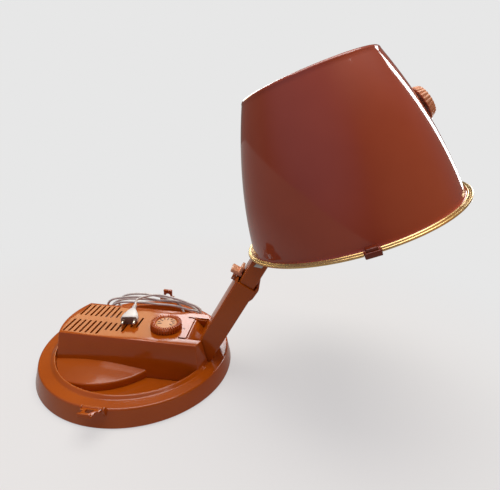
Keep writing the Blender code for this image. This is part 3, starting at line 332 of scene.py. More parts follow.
@dataclass(frozen=True)
class Palette:
    """All the finishes of the dryer."""

    base: Finish = Finish("burnt orange polystyrene, injection moulded", "#A64E0C", "#9C4608", 0.1,
                          cloud=120.0, scuffs=0.1, relief=0.003, specular=0.4)
    hood: Finish = Finish("brown polystyrene, high gloss moulding", "#A84C32", "#9C442C", 0.06, cloud=140.0,
                          scuffs=0.05, relief=0.002, specular=0.45, flow=6.0)
    liner: Finish = Finish("tan polystyrene, satin moulding", "#C08050", "#B07040", 0.42)
    knob: Finish = Finish("peach polystyrene, fluted moulding", "#E8A67A", "#DA9566", 0.34, scuffs=0.2)
    dial: Finish = Finish("orange polystyrene, toothed moulding", "#BC5C1C", "#AC4E12", 0.22, scuffs=0.15)
    disc: Finish = Finish("beige dial plate, printed styrene", "#CC9260", "#C08450", 0.42)
    catch: Finish = Finish("red brown polystyrene", "#7C2E10", "#6E260C", 0.3)
    gold: Finish = Finish("gold vacuum plated trim", "#E2C488", "#CFA862", 0.22, metallic=0.85, scuffs=0.2)
    dark: Finish = Finish("shaded inside of the moulding", "#54200C", "#461808", 0.5)
    steel: Finish = Finish("zinc plated steel, pressed", "#B8B8B6", "#8E8C88", 0.32, metallic=1.0, grain=0.5)
    pins: Finish = Finish("nickel plated brass pins", "#D8D2C4", "#B8B0A0", 0.22, metallic=1.0)
    rubber: Finish = Finish("black rubber, moulded", "#1C1B1A", "#2A2826", 0.75, relief=0.04)
    grey: Finish = Finish("grey phenolic, pressed", "#4A4948", "#3C3B3A", 0.55, relief=0.03)
    mica: Finish = Finish("mica board, laminated", "#B8A584", "#9C8866", 0.6, cloud=8.0, relief=0.05)
    wire: Finish = Finish("nickel chrome heating wire", "#8C8880", "#6E6A64", 0.4, metallic=1.0)
    cord: Finish = Finish("grey PVC cord sheath", "#CCC6C0", "#B4ACA6", 0.36, cloud=20.0, relief=0.02)
    plug: Finish = Finish("white PVC plug, overmoulded", "#DAD8D6", "#C6C2BE", 0.34, relief=0.02)
    face: Finish = Finish("grey brown plug insert", "#7C6458", "#6A5448", 0.4)


PAINT = Palette()


# ---- base ----


@dataclass
class Base:
    """The round tub with its ledge, lip and tray, the scroll in it, and the two latches."""

    foot_radius: float = 167.0
    ledge_radius: float = 160.0
    ledge_height: float = 30.0
    lip_foot: float = 143.0
    lip_radius: float = 138.0
    lip_height: float = 33.8
    tray_height: float = 12.0
    tray_radius: float = 132.5
    notch_half: float = 49.0
    latch_at: tuple[float, float] = (164.5, 34.0)
    latch_half: float = 14.0
    hook_half: float = 9.5
    scroll_x: float = -53.0
    scroll_radius: float = 113.0

    def build(self) -> None:
        """Builds the tub, the scroll and the latches, and lets them ride on their bodies."""
        self.tub()
        self.scroll()
        self.latch("front", -1, 74.0)
        self.latch("back", 1, 0.0)

    def tub(self) -> None:
        """The flared tub in one turned skin, with its lugs and the gap in its lip."""
        ledge, lip = self.ledge_height, self.lip_height
        corners = [
            (0.0, self.tray_height, 0),
            (self.tray_radius, self.tray_height, 5.0),
            (self.lip_radius - 2.6, lip, 1.2),
            (self.lip_radius, lip, 1.0),
            (self.lip_foot, ledge, 1.6),
            (self.ledge_radius + 0.4, ledge, 2.6),
            (self.foot_radius, 2.0, 0.6),
            (self.foot_radius - 2.6, 2.0, 0.3),
            (self.ledge_radius - 2.6, ledge - 3.0, 1.0),
            (self.lip_foot - 2.0, ledge - 3.0, 1.0),
            (self.tray_radius + 3.0, self.tray_height - 2.5, 2.0),
            (0.0, self.tray_height - 2.5, 0),
        ]
        tub = lathe(rounded(corners), 220)
        tub = boolean(tub, block((105, -self.notch_half, ledge + 0.1), (152, self.notch_half, 50)))
        tub = boolean(tub, rod((60, 84, 4), (60, 84, 20), 5.3))
        lugs = []
        y, z = self.latch_at
        for side in (-1, 1):
            for end in (-1, 1):
                shape = [(157.5, 28.2), (163.0, 21.0), (166.8, 29.0),
                         *arc((y, z), 3.3, 0, 180, 17), (157.5, 30.4)]
                lug = soften(prism(shape, 3.0), 0.4, 2, 50)
                across = end * (self.latch_half + 2.2)
                place = Matrix(((0, 0, 1, across), (side, 0, 0, 0), (0, 1, 0, 0), (0, 0, 0, 1)))
                lugs.append(moved(lug, place))
        body = merged(tub, *lugs)
        bmesh.ops.recalc_face_normals(body, faces=body.faces)
        piece = to_object("tub", body, PAINT.base.make())
        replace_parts(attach(piece, "base"), "base_tray")

    def scroll(self) -> None:
        """The fan scroll's sloping round cover, clipped by the tray's wall."""
        radius = self.scroll_radius
        corners = [
            (30.0, 33.0, 0), (62.0, 32.0, 6.0), (radius - 1.6, 24.2, 3.2),
            (radius, 12.2, 0.6), (radius - 2.2, 12.2, 0.3), (radius - 4.0, 21.0, 1.5), (30.0, 29.0, 0),
        ]
        cover = moved(lathe(rounded(corners) + [(30.0, 33.0)], 200),
                      Matrix.Translation((self.scroll_x, 0, 0)))
        inside = lathe([(0, 10), (131.6, 10), (131.9, 12), (136.6, 45), (0, 45)], 200)
        body = boolean(cover, inside, Operation.KEEP)
        piece = to_object("scroll_cover", body, PAINT.base.make())
        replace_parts(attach(piece, "base"), "fan_scroll")

    def latch(self, name: str, side: int, lean: float) -> None:
        """One hinged latch: a wide hinge leaf, a narrower blade with a window, and a hooked tip.

        Args:
            name: which latch.
            side: -1 for the user's side, 1 for the back.
            lean: how far it lies outwards from upright, in degrees.
        """
        half, tip = self.latch_half, self.hook_half
        outline = rounded([(-half, 0, 0), (half, 0, 0.4), (half, 9, 1.2), (tip, 9, 1.0), (tip, 24, 1.0),
                           (-tip, 24, 1.0), (-tip, 9, 1.0), (-half, 9, 1.2), (-half, 0, 0)])[:-1]
        plate = soften(prism(outline, 2.6, Axis.Y), 0.45, 2, 50)
        crest = arc((0, 9), 5.5, 0, 180, 15)[1:-1]
        window = prism([(-5.5, 6), (5.5, 6), (5.5, 9), *crest, (-5.5, 9)], 8, Axis.Y)
        plate = boolean(plate, window)
        near, far = sorted((0.0, -side * 4.3))
        hook = soften(block((-tip + 0.3, near, 20.4), (tip - 0.3, far, 24)), 0.8, 2)
        barrel = rod((-half, 0, 0), (half, 0, 0), 3.0)
        ribs = [soften(block((x - 0.5, side * 0.9, 17.0), (x + 0.5, side * 1.8, 21)), 0.2, 1)
                for x in (-6, -2, 2, 6)]
        y, z = self.latch_at
        place = Matrix.Translation((0, side * y, z)) @ turn_about("X", -side * lean)
        piece = to_object(f"latch_{name}_plate", moved(merged(plate, hook, barrel, *ribs), place),
                          PAINT.base.make())
        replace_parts(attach(piece, f"latch_{name}"), f"latch_{name}")


# ---- housing ----


@dataclass
class Housing:
    """The bar across the base: air slots, the arm's slot, the dial and its marks."""

    top: float = 71.5
    floor: float = 12.3
    top_half: float = 52.0
    foot_half: float = 67.5
    top_radius: float = 127.5
    left_foot_radius: float = 136.0
    right_foot_radius: float = 144.0
    slot_half: float = 35.6
    slot_start: float = 94.6
    dial_at: tuple[float, float] = (53.0, -6.0)
    dial_radius: float = 27.4
    dial_height: float = 11.4
    vent_start: float = -112.8
    vent_pitch: float = 9.6
    vent_width: float = 3.8

    def build(self) -> None:
        """Builds the cover with its cut-outs, and the dial."""
        self.cover()
        self.dial()
        self.marks()

    def bar(self, inset: float, top: float) -> Mesh:
        """Returns the bar's closed form, drawn in by a wall's thickness."""
        bm = bmesh.new()
        height = top - self.floor
        bmesh.ops.create_cone(bm, cap_ends=True, segments=160, radius1=1.0, radius2=1.0, depth=height,
                              matrix=Matrix.Translation((0, 0, self.floor + height / 2)))
        for vertex in bm.verts:
            share = (vertex.co.z - self.floor) / (self.top - self.floor)
            foot = self.left_foot_radius if vertex.co.x < 0 else self.right_foot_radius
            radius = foot + (self.top_radius - foot) * share - inset
            vertex.co.x *= radius
            vertex.co.y *= radius
        lean = (self.foot_half - self.top_half) / (self.top - self.floor)
        for side in (-1, 1):
            normal = Vector((0, side, lean)).normalized()
            cut = bmesh.ops.bisect_plane(
                bm, geom=bm.verts[:] + bm.edges[:] + bm.faces[:], dist=0.0005,
                plane_co=(0, side * (self.top_half - inset), self.top), plane_no=normal, clear_outer=True)
            edges = [e for e in cut["geom_cut"] if isinstance(e, bmesh.types.BMEdge)]
            bmesh.ops.edgeloop_fill(bm, edges=edges)
        bmesh.ops.recalc_face_normals(bm, faces=bm.faces)
        return bm

    def vents(self) -> Mesh:
        """Returns the cutters of all the air slots, with round ends."""
        slots = []
        for k in range(13):
            x = self.vent_start + k * self.vent_pitch
            if k < 7:
                spans = [(7.0, 45.8), (-45.8, -7.0)]
            elif k < 11:
                spans = [(8.0, 33.0), (-33.0, -8.0)]
            else:
                spans = [(-17.0, 17.0)]
            half = self.vent_width / 2
            for near, far in spans:
                shape = arc((x, far - half), half, 0, 180, 7) + arc((x, near + half), half, 180, 360, 7)
                slots.append(moved(prism(shape, 14), Matrix.Translation((0, 0, self.top))))
        return merged(*slots)

    def cover(self) -> None:
        """The shell of the bar with every opening in it."""
        cover = soften(self.bar(0.0, self.top), 2.2, 4, 32)
        inner = boolean(self.bar(2.6, self.top - 2.6), block((82, -38, 0), (170, 38, 90)))
        moved(inner, Matrix.Translation((0, 0, -1.0)))
        cover = boolean(cover, inner)
        half = self.slot_half
        cover = boolean(cover, block((84.0, -half, 29.6), (170, half, self.top - 2.2)))
        start = self.slot_start
        mouth = prism([(start + 1.2, -half), (170, -half), (170, half), (start + 1.2, half),
                       (start, half - 1.2), (start, -half + 1.2)], 20)
        cover = boolean(cover, moved(mouth, Matrix.Translation((0, 0, self.top))))
        for side in (-1, 1):
            near, far = sorted((side * 31.2, side * half))
            cover = boolean(cover, block((82.4, near, 60), (130, far, 90)))
        cover = boolean(cover, self.vents())
        piece = to_object("housing_shell", cover, PAINT.base.make(), 28)
        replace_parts(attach(piece, "base"), "housing_cover")

    def dial(self) -> None:
        """The dial: radial teeth round a core, with a beige plate and its scale in the middle."""
        x, y = self.dial_at
        height, teeth = self.dial_height, 36
        core = lathe(rounded([(0, height - 3.6, 0), (18.2, height - 3.6, 0), (19.0, height - 0.8, 0.4),
                              (19.8, height - 0.8, 0.4), (20.6, height - 3.6, 0.6), (24.6, height - 4.0, 1.0),
                              (24.8, 0.8, 0.4), (23.0, 0.2, 0.3), (0, 0.2, 0)]), 144)
        cogs = []
        for i in range(teeth):
            cog = soften(block((19.4, -0.95, 0.9), (self.dial_radius, 0.95, height)), 0.45, 2)
            for vertex in cog.verts:
                if vertex.co.x > 22 and vertex.co.z > height / 2:
                    vertex.co.x -= 1.2
            cogs.append(moved(cog, turn_about("Z", 360 * i / teeth)))
        place = Matrix.Translation((x, y, self.top + 0.4))
        body = moved(merged(core, *cogs), place)
        piece = to_object("dial_rim", body, PAINT.dial.make(), 40)
        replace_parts(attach(piece, "dial"), "dial_knob")
        plate = lathe(rounded([(0, height - 1.7, 0), (16.6, height - 1.9, 0.8), (18.1, height - 3.1, 0)]), 96)
        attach(to_object("dial_plate", moved(plate, place), PAINT.disc.make(), 40), "dial")
        marks = []
        for i in range(9):
            inner = 10.6 if i % 2 else 8.0
            mark = soften(block((inner, -0.85, height - 1.9), (15.2, 0.85, height - 1.3)), 0.15, 1)
            marks.append(moved(mark, turn_about("Z", -30 + 30 * i)))
        scale = to_object("dial_scale", moved(merged(*marks), place), PAINT.dark.make())
        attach(scale, "dial")

    def marks(self) -> None:
        """The dark pointer on the housing beside the dial."""
        x, y = self.dial_at
        bar = soften(block((x + 29.4, y + 0.4, self.top - 0.2), (x + 33.4, y + 2.0, self.top + 0.3)), 0.2, 1)
        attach(to_object("dial_pointer", bar, PAINT.dark.make()), "base")


# ---- arm ----


@dataclass
class Arm:
    """The folding arm: lower duct, sliding upper duct, release lever.

    The arm's own frame has its origin on the pivot and its Z axis along the ducts.
    """

    pivot: Point = (97.0, 0.0, 65.5)
    lean: float = 26.4
    near: float = 18.1
    thick: float = 34.8
    half: float = 32.6
    end: float = 141.0
    upper_half: float = 28.8
    upper_near: float = 23.8
    upper_thick: float = 25.8
    lever: tuple[float, float] = (13.0, 136.5)

    @property
    def place(self) -> Matrix:
        """The arm's frame in the row frame."""
        return Matrix.Translation(self.pivot) @ turn_about("Y", self.lean)

    def build(self) -> None:
        """Builds the arm's pieces."""
        self.lower()
        self.collar()
        self.upper()
        self.release()

    def duct(self, low: Point, high: Point, radius: float,
             wall: float) -> Mesh:
        """Returns an open duct along Z with rounded long edges and thin walls."""
        shells = []
        for inset, reach in ((0.0, 0.0), (wall, 8.0)):
            r = max(radius - inset, 0.6)
            x0, y0, x1, y1 = low[0] + inset, low[1] + inset, high[0] - inset, high[1] - inset
            shape = (arc((x1 - r, y1 - r), r, 0, 90, 7) + arc((x0 + r, y1 - r), r, 90, 180, 7)
                     + arc((x0 + r, y0 + r), r, 180, 270, 7) + arc((x1 - r, y0 + r), r, 270, 360, 7))
            height = high[2] - low[2] + 2 * reach
            shells.append(moved(prism(shape, height), Matrix.Translation((0, 0, (low[2] + high[2]) / 2))))
        soften(shells[0], 0.7, 2, 60)
        return boolean(shells[0], shells[1])

    def lower(self) -> None:
        """The lower duct with its ears, barrel and sloping web."""
        far = self.near + self.thick
        tube = self.duct((self.near, -self.half, -46), (far, self.half, self.end), 3.4, 2.8)
        level = turn_about("Y", -self.lean) @ Matrix.Translation((0, 0, 31.4 - self.pivot[2]))
        floor = moved(block((-80, -60, -80), (140, 60, 0)), level)
        tube = boolean(tube, floor)
        ears = []
        for side in (-1, 1):
            shape = [(self.near + 2, -13.5), (self.near + 2, 13.5), *arc((0, 0), 5.6, 75, 285, 21)]
            ear = soften(prism(shape, 3.2, Axis.Y), 0.5, 2, 50)
            ears.append(moved(ear, Matrix.Translation((0, side * 33.2, 0))))
        ears.append(rod((0, -32, 0), (0, 32, 0), 3.9))
        web = moved(soften(block((0, -31.6, -2.2), (19.5, 31.6, 0)), 0.5, 2),
                    Matrix.Translation((0.9, 0, 3.5)) @ turn_about("Y", 18.4))
        lugs = [soften(block((10.0, s * 13.4 - 1.4, 132.6), (self.near + 1.5, s * 13.4 + 1.4, 140.4)), 0.9, 2)
                for s in (-1, 1)]
        rib = block((self.near - 1.0, -self.half + 5, self.end - 5.0),
                    (self.near + 0.6, self.half - 5, self.end - 2.0))
        soften(rib, 0.5, 2)
        body = moved(merged(tube, *ears, web, *lugs, rib), self.place)
        piece = to_object("arm_lower_duct", body, PAINT.base.make(), 35)
        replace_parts(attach(piece, "arm"), "arm_lower_tube")

    def collar(self) -> None:
        """The guide collar that stands off the duct's far side at its end."""
        x = self.near + self.thick
        shape = [(x - 1.0, 116), (x + 3.0, 126), (x + 4.0, self.end + 2), (x + 3.0, self.end + 6.5),
                 (x - 1.0, self.end + 6.5)]
        body = moved(soften(prism(shape, 2 * self.half - 5, Axis.Y), 1.4, 3, 15), self.place)
        piece = to_object("arm_guide_collar", body, PAINT.base.make(), 40)
        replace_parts(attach(piece, "arm"), "arm_collar")

    def upper(self) -> None:
        """The sliding duct, with the ears that carry the hood's pin and a small steel catch plate."""
        far = self.upper_near + self.upper_thick
        tube = self.duct((self.upper_near, -self.upper_half, 26), (far, self.upper_half, 236), 2.8, 2.2)
        ears = []
        for side in (-1, 1):
            shape = [(self.upper_near + 2, 208), (self.upper_near + 2, 235),
                     *arc((8.6, 241.9), 6.5, 60, 250, 17)]
            ears.append(moved(prism(shape, 3.0, Axis.Y), Matrix.Translation((0, side * 29.5, 0))))
        body = moved(merged(tube, *ears), self.place)
        piece = to_object("arm_upper_duct", body, PAINT.base.make(), 35)
        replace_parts(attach(piece, "upper_arm"), "arm_upper_tube")
        middle = self.upper_near + self.upper_thick / 2
        shape = [(middle - 7, 176), (middle + 5, 180), (middle + 7, 190), (middle - 5, 186)]
        plate = soften(prism(shape, 1.2, Axis.Y), 0.3, 2)
        plate = moved(plate, self.place @ Matrix.Translation((0, -self.upper_half - 0.4, 0)))
        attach(to_object("arm_catch_plate", plate, PAINT.steel.make()), "upper_arm")

    def release(self) -> None:
        """The T-shaped release lever with its thumb bar."""
        x, z = self.lever
        bar = soften(block((x - 9.7, -12.5, z + 5.4), (x + 10.2, 12.5, z + 11.6)), 1.6, 3)
        stub = soften(block((x + 3.2, -12.0, z + 8), (x + 8.0, 12.0, z + 22)), 1.4, 3)
        web = soften(block((x - 2.6, -11.4, z - 3.0), (x + 2.6, 11.4, z + 8)), 1.2, 3)
        body = moved(merged(bar, stub, web), self.place)
        piece = to_object("thumb_lever", body, PAINT.knob.make(), 40)
        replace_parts(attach(piece, "lever"), "release_lever")


# ---- hood ----


@dataclass
class Hood:
    """The bonnet: glossy shell, gold rim, catches, air liner, bracket and control knob.

    Its own frame has the origin in the middle of the rim and Z along its axis.
    """

    rim: Point = (340.3, 0.0, 289.8)
    tilt: float = math.degrees(-0.41)
    height: float = 210.0
    foot_radius: float = 153.4
    top_radius: float = 94.4
    bulge: float = 9.0
    dome: float = 5.0
    corner: float = 4.5
    wall: float = 2.6
    flange: float = 158.4
    bead: float = 1.75
    catch_half: float = 9.5
    hinge: tuple[float, float] = (-122.0, 40.6)
    knob_height: float = 122.0

    @property
    def place(self) -> Matrix:
        """The hood's frame in the row frame."""
        return Matrix.Translation(self.rim) @ turn_about("Y", self.tilt)

    def build(self) -> None:
        """Builds the hood's pieces."""
        self.shell()
        self.trim()
        self.catches()
        self.liner()
        self.bracket()
        self.knob()

    def radius(self, z: float, inset: float = 0.0) -> float:
        """Returns the wall's radius at a height above the rim."""
        s = z / self.height
        straight = self.foot_radius + (self.top_radius - self.foot_radius) * s
        return straight + 4 * self.bulge * s * (1 - s) - inset

    def side(self, inset: float, foot: float) -> Profile:
        """Returns the profile from the crown's middle over the corner and down the wall."""
        corner = self.corner - inset * 0.6
        knee = self.height - inset - corner
        middle = self.radius(knee, inset) - corner
        crown = self.height - inset
        points = [(middle * i / 12, crown + self.dome * (1 - (i / 12) ** 2)) for i in range(12)]
        points += arc((middle, knee), corner, 90, 0, 13)
        points += [(self.radius(knee + (foot - knee) * i / 40, inset), knee + (foot - knee) * i / 40)
                   for i in range(1, 41)]
        return points

    def shell(self) -> None:
        """The shell with a rolled foot and the flat flange that the trim sits on."""
        foot = rounded([(self.radius(8.0), 8.0, 0), (self.radius(3.4) + 0.5, 3.4, 3.0),
                        (self.flange, 3.1, 0.5), (self.flange, 0.0, 0.5),
                        (self.radius(0, self.wall), 0.0, 0.5), (self.radius(4.0, self.wall), 4.0, 0)])
        profile = self.side(0.0, 8.5) + foot + self.side(self.wall, 4.5)[::-1]
        body = moved(lathe(profile, 256), self.place)
        piece = to_object("hood_bonnet", body, PAINT.hood.make(), 40)
        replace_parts(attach(piece, "hood"), "hood_shell")

    def trim(self) -> None:
        """The gold trim that is pressed over the flange, in two halves between the catches."""
        start = math.degrees(math.asin((self.catch_half + 0.4) / self.flange))
        edge = self.flange
        section = arc((edge + self.bead, 1.6), self.bead, -150, 125, 15)
        section += rounded([(edge + 0.2, 4.0, 0), (edge - 1.6, 3.7, 0.4), (edge - 2.6, 4.5, 0.5),
                            (edge - 3.6, 3.4, 0)])
        section += [(edge - 0.4, 3.0), (edge, 0.8)]
        for name, side in (("right", 1), ("left", -1)):
            bm = bmesh.new()
            face = bm.faces.new([bm.verts.new((r, 0.0, z)) for r, z in section])
            first = -90 + start if side > 0 else 90 + start
            bmesh.ops.rotate(bm, cent=(0, 0, 0), matrix=turn_about("Z", first).to_3x3(), verts=bm.verts)
            bmesh.ops.spin(bm, geom=[face, *bm.verts, *bm.edges], cent=(0, 0, 0), axis=(0, 0, 1),
                           angle=math.radians(180 - 2 * start), steps=140)
            bmesh.ops.remove_doubles(bm, verts=bm.verts, dist=0.0005)
            bmesh.ops.recalc_face_normals(bm, faces=bm.faces)
            piece = to_object(f"gold_bead_{name}", moved(bm, self.place), PAINT.gold.make(), 60)
            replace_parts(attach(piece, "hood"), f"rim_bead_{name}")

    def catches(self) -> None:
        """The two blocks that the base's latches hook over."""
        half = self.catch_half
        for name, side in (("front", -1), ("back", 1)):
            near, far = sorted((side * (self.flange - 1.0), side * (self.flange + 4.4)))
            outer = soften(block((-half, near, -3.4), (half, far, 3.6)), 1.0, 3)
            near, far = sorted((side * (self.flange - 7.0), side * (self.flange + 2.2)))
            inner = soften(block((-half + 2.5, near, 2.6), (half - 2.5, far, 7.4)), 1.4, 3)
            body = moved(merged(outer, inner), self.place)
            piece = to_object(f"rim_catch_{name}", body, PAINT.catch.make(), 40)
            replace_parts(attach(piece, "hood"), f"hood_catch_{name}")

    def liner(self) -> None:
        """The perforated inner shell that spreads the air."""
        inset, low, high = self.wall + 11.0, 80.0, 190.0
        steps = [low + (high - low) * i / 12 for i in range(13)]
        side = [(self.radius(z, inset), z) for z in steps]
        lip = self.radius(low, self.wall + 1.0)
        outer = [(0.0, high + 3), (side[-1][0] - 9, high + 2), *side[:0:-1],
                 (side[0][0], low + 1.6), (lip, low + 1.6)]
        inner = [(lip, low), (side[0][0] - 1.5, low), *[(r - 1.6, z) for r, z in side[1:]],
                 (side[-1][0] - 10, high + 0.4), (0.0, high + 1.4)]
        body = lathe(outer + inner, 140)
        holes = []
        for ring, (radius, count) in enumerate(((22, 6), (44, 12), (66, 18))):
            for i in range(count):
                angle = 2 * math.pi * (i + 0.5 * (ring % 2)) / count
                x, y = radius * math.cos(angle), radius * math.sin(angle)
                holes.append(rod((x, y, 180), (x, y, 200), 3.0, segments=16))
        body = boolean(body, merged(*holes))
        piece = to_object("air_spreader", moved(body, self.place), PAINT.liner.make(), 40)
        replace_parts(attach(piece, "hood"), "air_liner")

    def bracket(self) -> None:
        """The block inside the wall that turns on the arm's pin."""
        x, z = self.hinge
        solid = block((x - 30, -25, z - 9), (x, 25, z + 9))
        wall = [(self.radius(h, self.wall + 0.3), h) for h in (75, 60, 45, 30, 15, 5)]
        room = lathe([(0, 75), *wall, (0, 5)], 160)
        body = merged(boolean(solid, room, Operation.KEEP), rod((x, -26, z), (x, 26, z), 6.1))
        piece = to_object("hinge_bracket", moved(body, self.place), PAINT.catch.make(), 35)
        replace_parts(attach(piece, "hood"), "hood_bracket")

    def knob(self) -> None:
        """The fluted control knob on the side away from the arm."""
        s = self.knob_height / self.height
        slope = (self.top_radius - self.foot_radius + 4 * self.bulge * (1 - 2 * s)) / self.height
        out = math.degrees(math.atan(-slope))
        seat = Matrix.Translation((self.radius(self.knob_height), 0, self.knob_height))
        place = self.place @ seat @ turn_about("Y", 90 - out)
        radius, height, flutes = 25.4, 9.5, 26
        outline = []
        for i in range(flutes * 8):
            angle = 2 * math.pi * i / (flutes * 8)
            wave = abs(math.sin(flutes * angle / 2)) ** 0.6
            reach = radius - 1.8 + 1.8 * wave
            outline.append((reach * math.cos(angle), reach * math.sin(angle)))
        body = moved(prism(outline, height), Matrix.Translation((0, 0, 3.0 + height / 2)))
        for vertex in body.verts:
            if vertex.co.z > 3.0 + height / 2:
                vertex.co.x *= 0.84
                vertex.co.y *= 0.84
        soften(body, 0.9, 3, 60)
        body = boolean(body, rod((0, 0, height + 1.4), (0, 0, height + 8), 15, 18.5, 64))
        body = boolean(body, rod((0, 0, 1.0), (0, 0, 5.4), 21.5))
        boss = rod((0, 0, 1.8), (0, 0, 8), 7)
        body = moved(merged(body, boss), place)
        piece = to_object("control_knob", body, PAINT.knob.make(), 40)
        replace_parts(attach(piece, "hood_control"), "hood_knob")


# ---- cord and plug ----


@dataclass
class Cord:
    """The mains cord: out of the gland, wound behind the housing, and over to the plug."""

    radius: float = 2.2
    gland: Point = (60.0, 84.0, 34.0)
    face: Point = (-13.0, -9.0, 79.9)
    turn: float = math.degrees(math.atan2(11.7, 53.8))
    rows: tuple[float, ...] = (98.5, 91.3, 77.3, 70.2)
    tops: tuple[float, ...] = (74.0, 68.0, 78.0, 71.5)
    lefts: tuple[float, ...] = (-84.0, -92.0, -96.0, -89.0)
    route: list[Vector] = field(default_factory=list)

    def plan(self) -> list[Vector]:
        """Returns the cord's centreline through its listed points."""
        x, y, z = self.gland
        points = [(x, y, z), (x, y, z + 10), (x - 5, y + 4, z + 22), (x - 20, y + 11, z + 33)]
        for k, (row, top, left) in enumerate(zip(self.rows, self.tops, self.lefts)):
            low = 30.0 + (row < 80) * 5.0
            if k:
                points += [(70.0, row + 1.0, top - 5.0), (44.0, row, top + 1.0)]
            points += [
                (12.0, row, top - 1.0 + 2.0 * (k % 2)), (-24.0, row, top + 3.0 - 2.0 * (k % 2)),
                (-62.0, row, top - 2.0), (left + 8, row, top - 10.0), (left, row, (top + low) / 2),
                (left + 9, row, low + 8.0),
                (left + 28, row, low + 1.0), (-30.0, row, low), (6.0, row, low), (42.0, row, low - 2.0),
            ]
            if k < 3:
                following = self.rows[k + 1]
                points += [(66.0, row - 0.5, low - 4.0), (84.0 + k, row - 1.5, low + 6.0),
                           (90.0 + k, (row + following) / 2, (top + low) / 2 + 4)]
        low = 35.0
        points += [(68.0, 70.0, low - 3.0), (88.0, 69.6, low + 6.0), (97.0, 69.0, 56.0), (92.0, 69.0, 73.0),
                   (72.0, 70.5, 81.0), (42.0, 73.0, 87.5), (8.0, 75.5, 89.5), (-14.0, 70.5, 86.5)]
        tail = self.tail()
        away = Vector((-math.sin(math.radians(self.turn)), math.cos(math.radians(self.turn)), 0))
        points += [tail + away * 14 + Vector((0, 0, 3.0)), tail + away * 5 + Vector((0, 0, 0.5)), tail]
        return self.smooth([Vector(p) for p in points])

    def tail(self) -> Vector:
        """Returns the end of the plug's relief."""
        angle = math.radians(self.turn)
        return Vector(self.face) + Vector((-math.sin(angle), math.cos(angle), 0)) * 56.3

    def smooth(self, points: list[Vector], each: int = 5) -> list[Vector]:
        """Returns a centripetal curve through points, with some points between each two."""
        ends = [2 * points[0] - points[1], *points, 2 * points[-1] - points[-2]]
        line = []
        for a, b, c, d in zip(ends, ends[1:], ends[2:], ends[3:]):
            knots = [0.0]
            for p, q in ((a, b), (b, c), (c, d)):
                knots.append(knots[-1] + math.sqrt(max((q - p).length, 1e-6)))
            t0, t1, t2, t3 = knots
            for i in range(each):
                t = t1 + (t2 - t1) * i / each
                a1 = a * ((t1 - t) / (t1 - t0)) + b * ((t - t0) / (t1 - t0))
                a2 = b * ((t2 - t) / (t2 - t1)) + c * ((t - t1) / (t2 - t1))
                a3 = c * ((t3 - t) / (t3 - t2)) + d * ((t - t2) / (t3 - t2))
                b1 = a1 * ((t2 - t) / (t2 - t0)) + a2 * ((t - t0) / (t2 - t0))
                b2 = a2 * ((t3 - t) / (t3 - t1)) + a3 * ((t - t1) / (t3 - t1))
                line.append(b1 * ((t2 - t) / (t2 - t1)) + b2 * ((t - t1) / (t2 - t1)))
        return [*line, points[-1]]

    def build(self, plug: "Plug") -> None:
        self.route = self.plan()
        curve = bpy.data.curves.new("mains_cord", "CURVE")
        curve.dimensions = "3D"
        curve.bevel_depth = self.radius * MM
        curve.bevel_resolution = 4
        curve.use_fill_caps = True
        spline = curve.splines.new("POLY")
        spline.points.add(len(self.route) - 1)
        for target, point in zip(spline.points, self.route):
            target.co = (*(point * MM), 1.0)
        spline.use_smooth = True
        curve.materials.append(PAINT.cord.make())
        piece = bpy.data.objects.new("mains_cord", curve)
        bpy.context.scene.collection.objects.link(piece)
        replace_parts(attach(piece, "base"), "cord_hank", "cord_lead", "cord_entry")


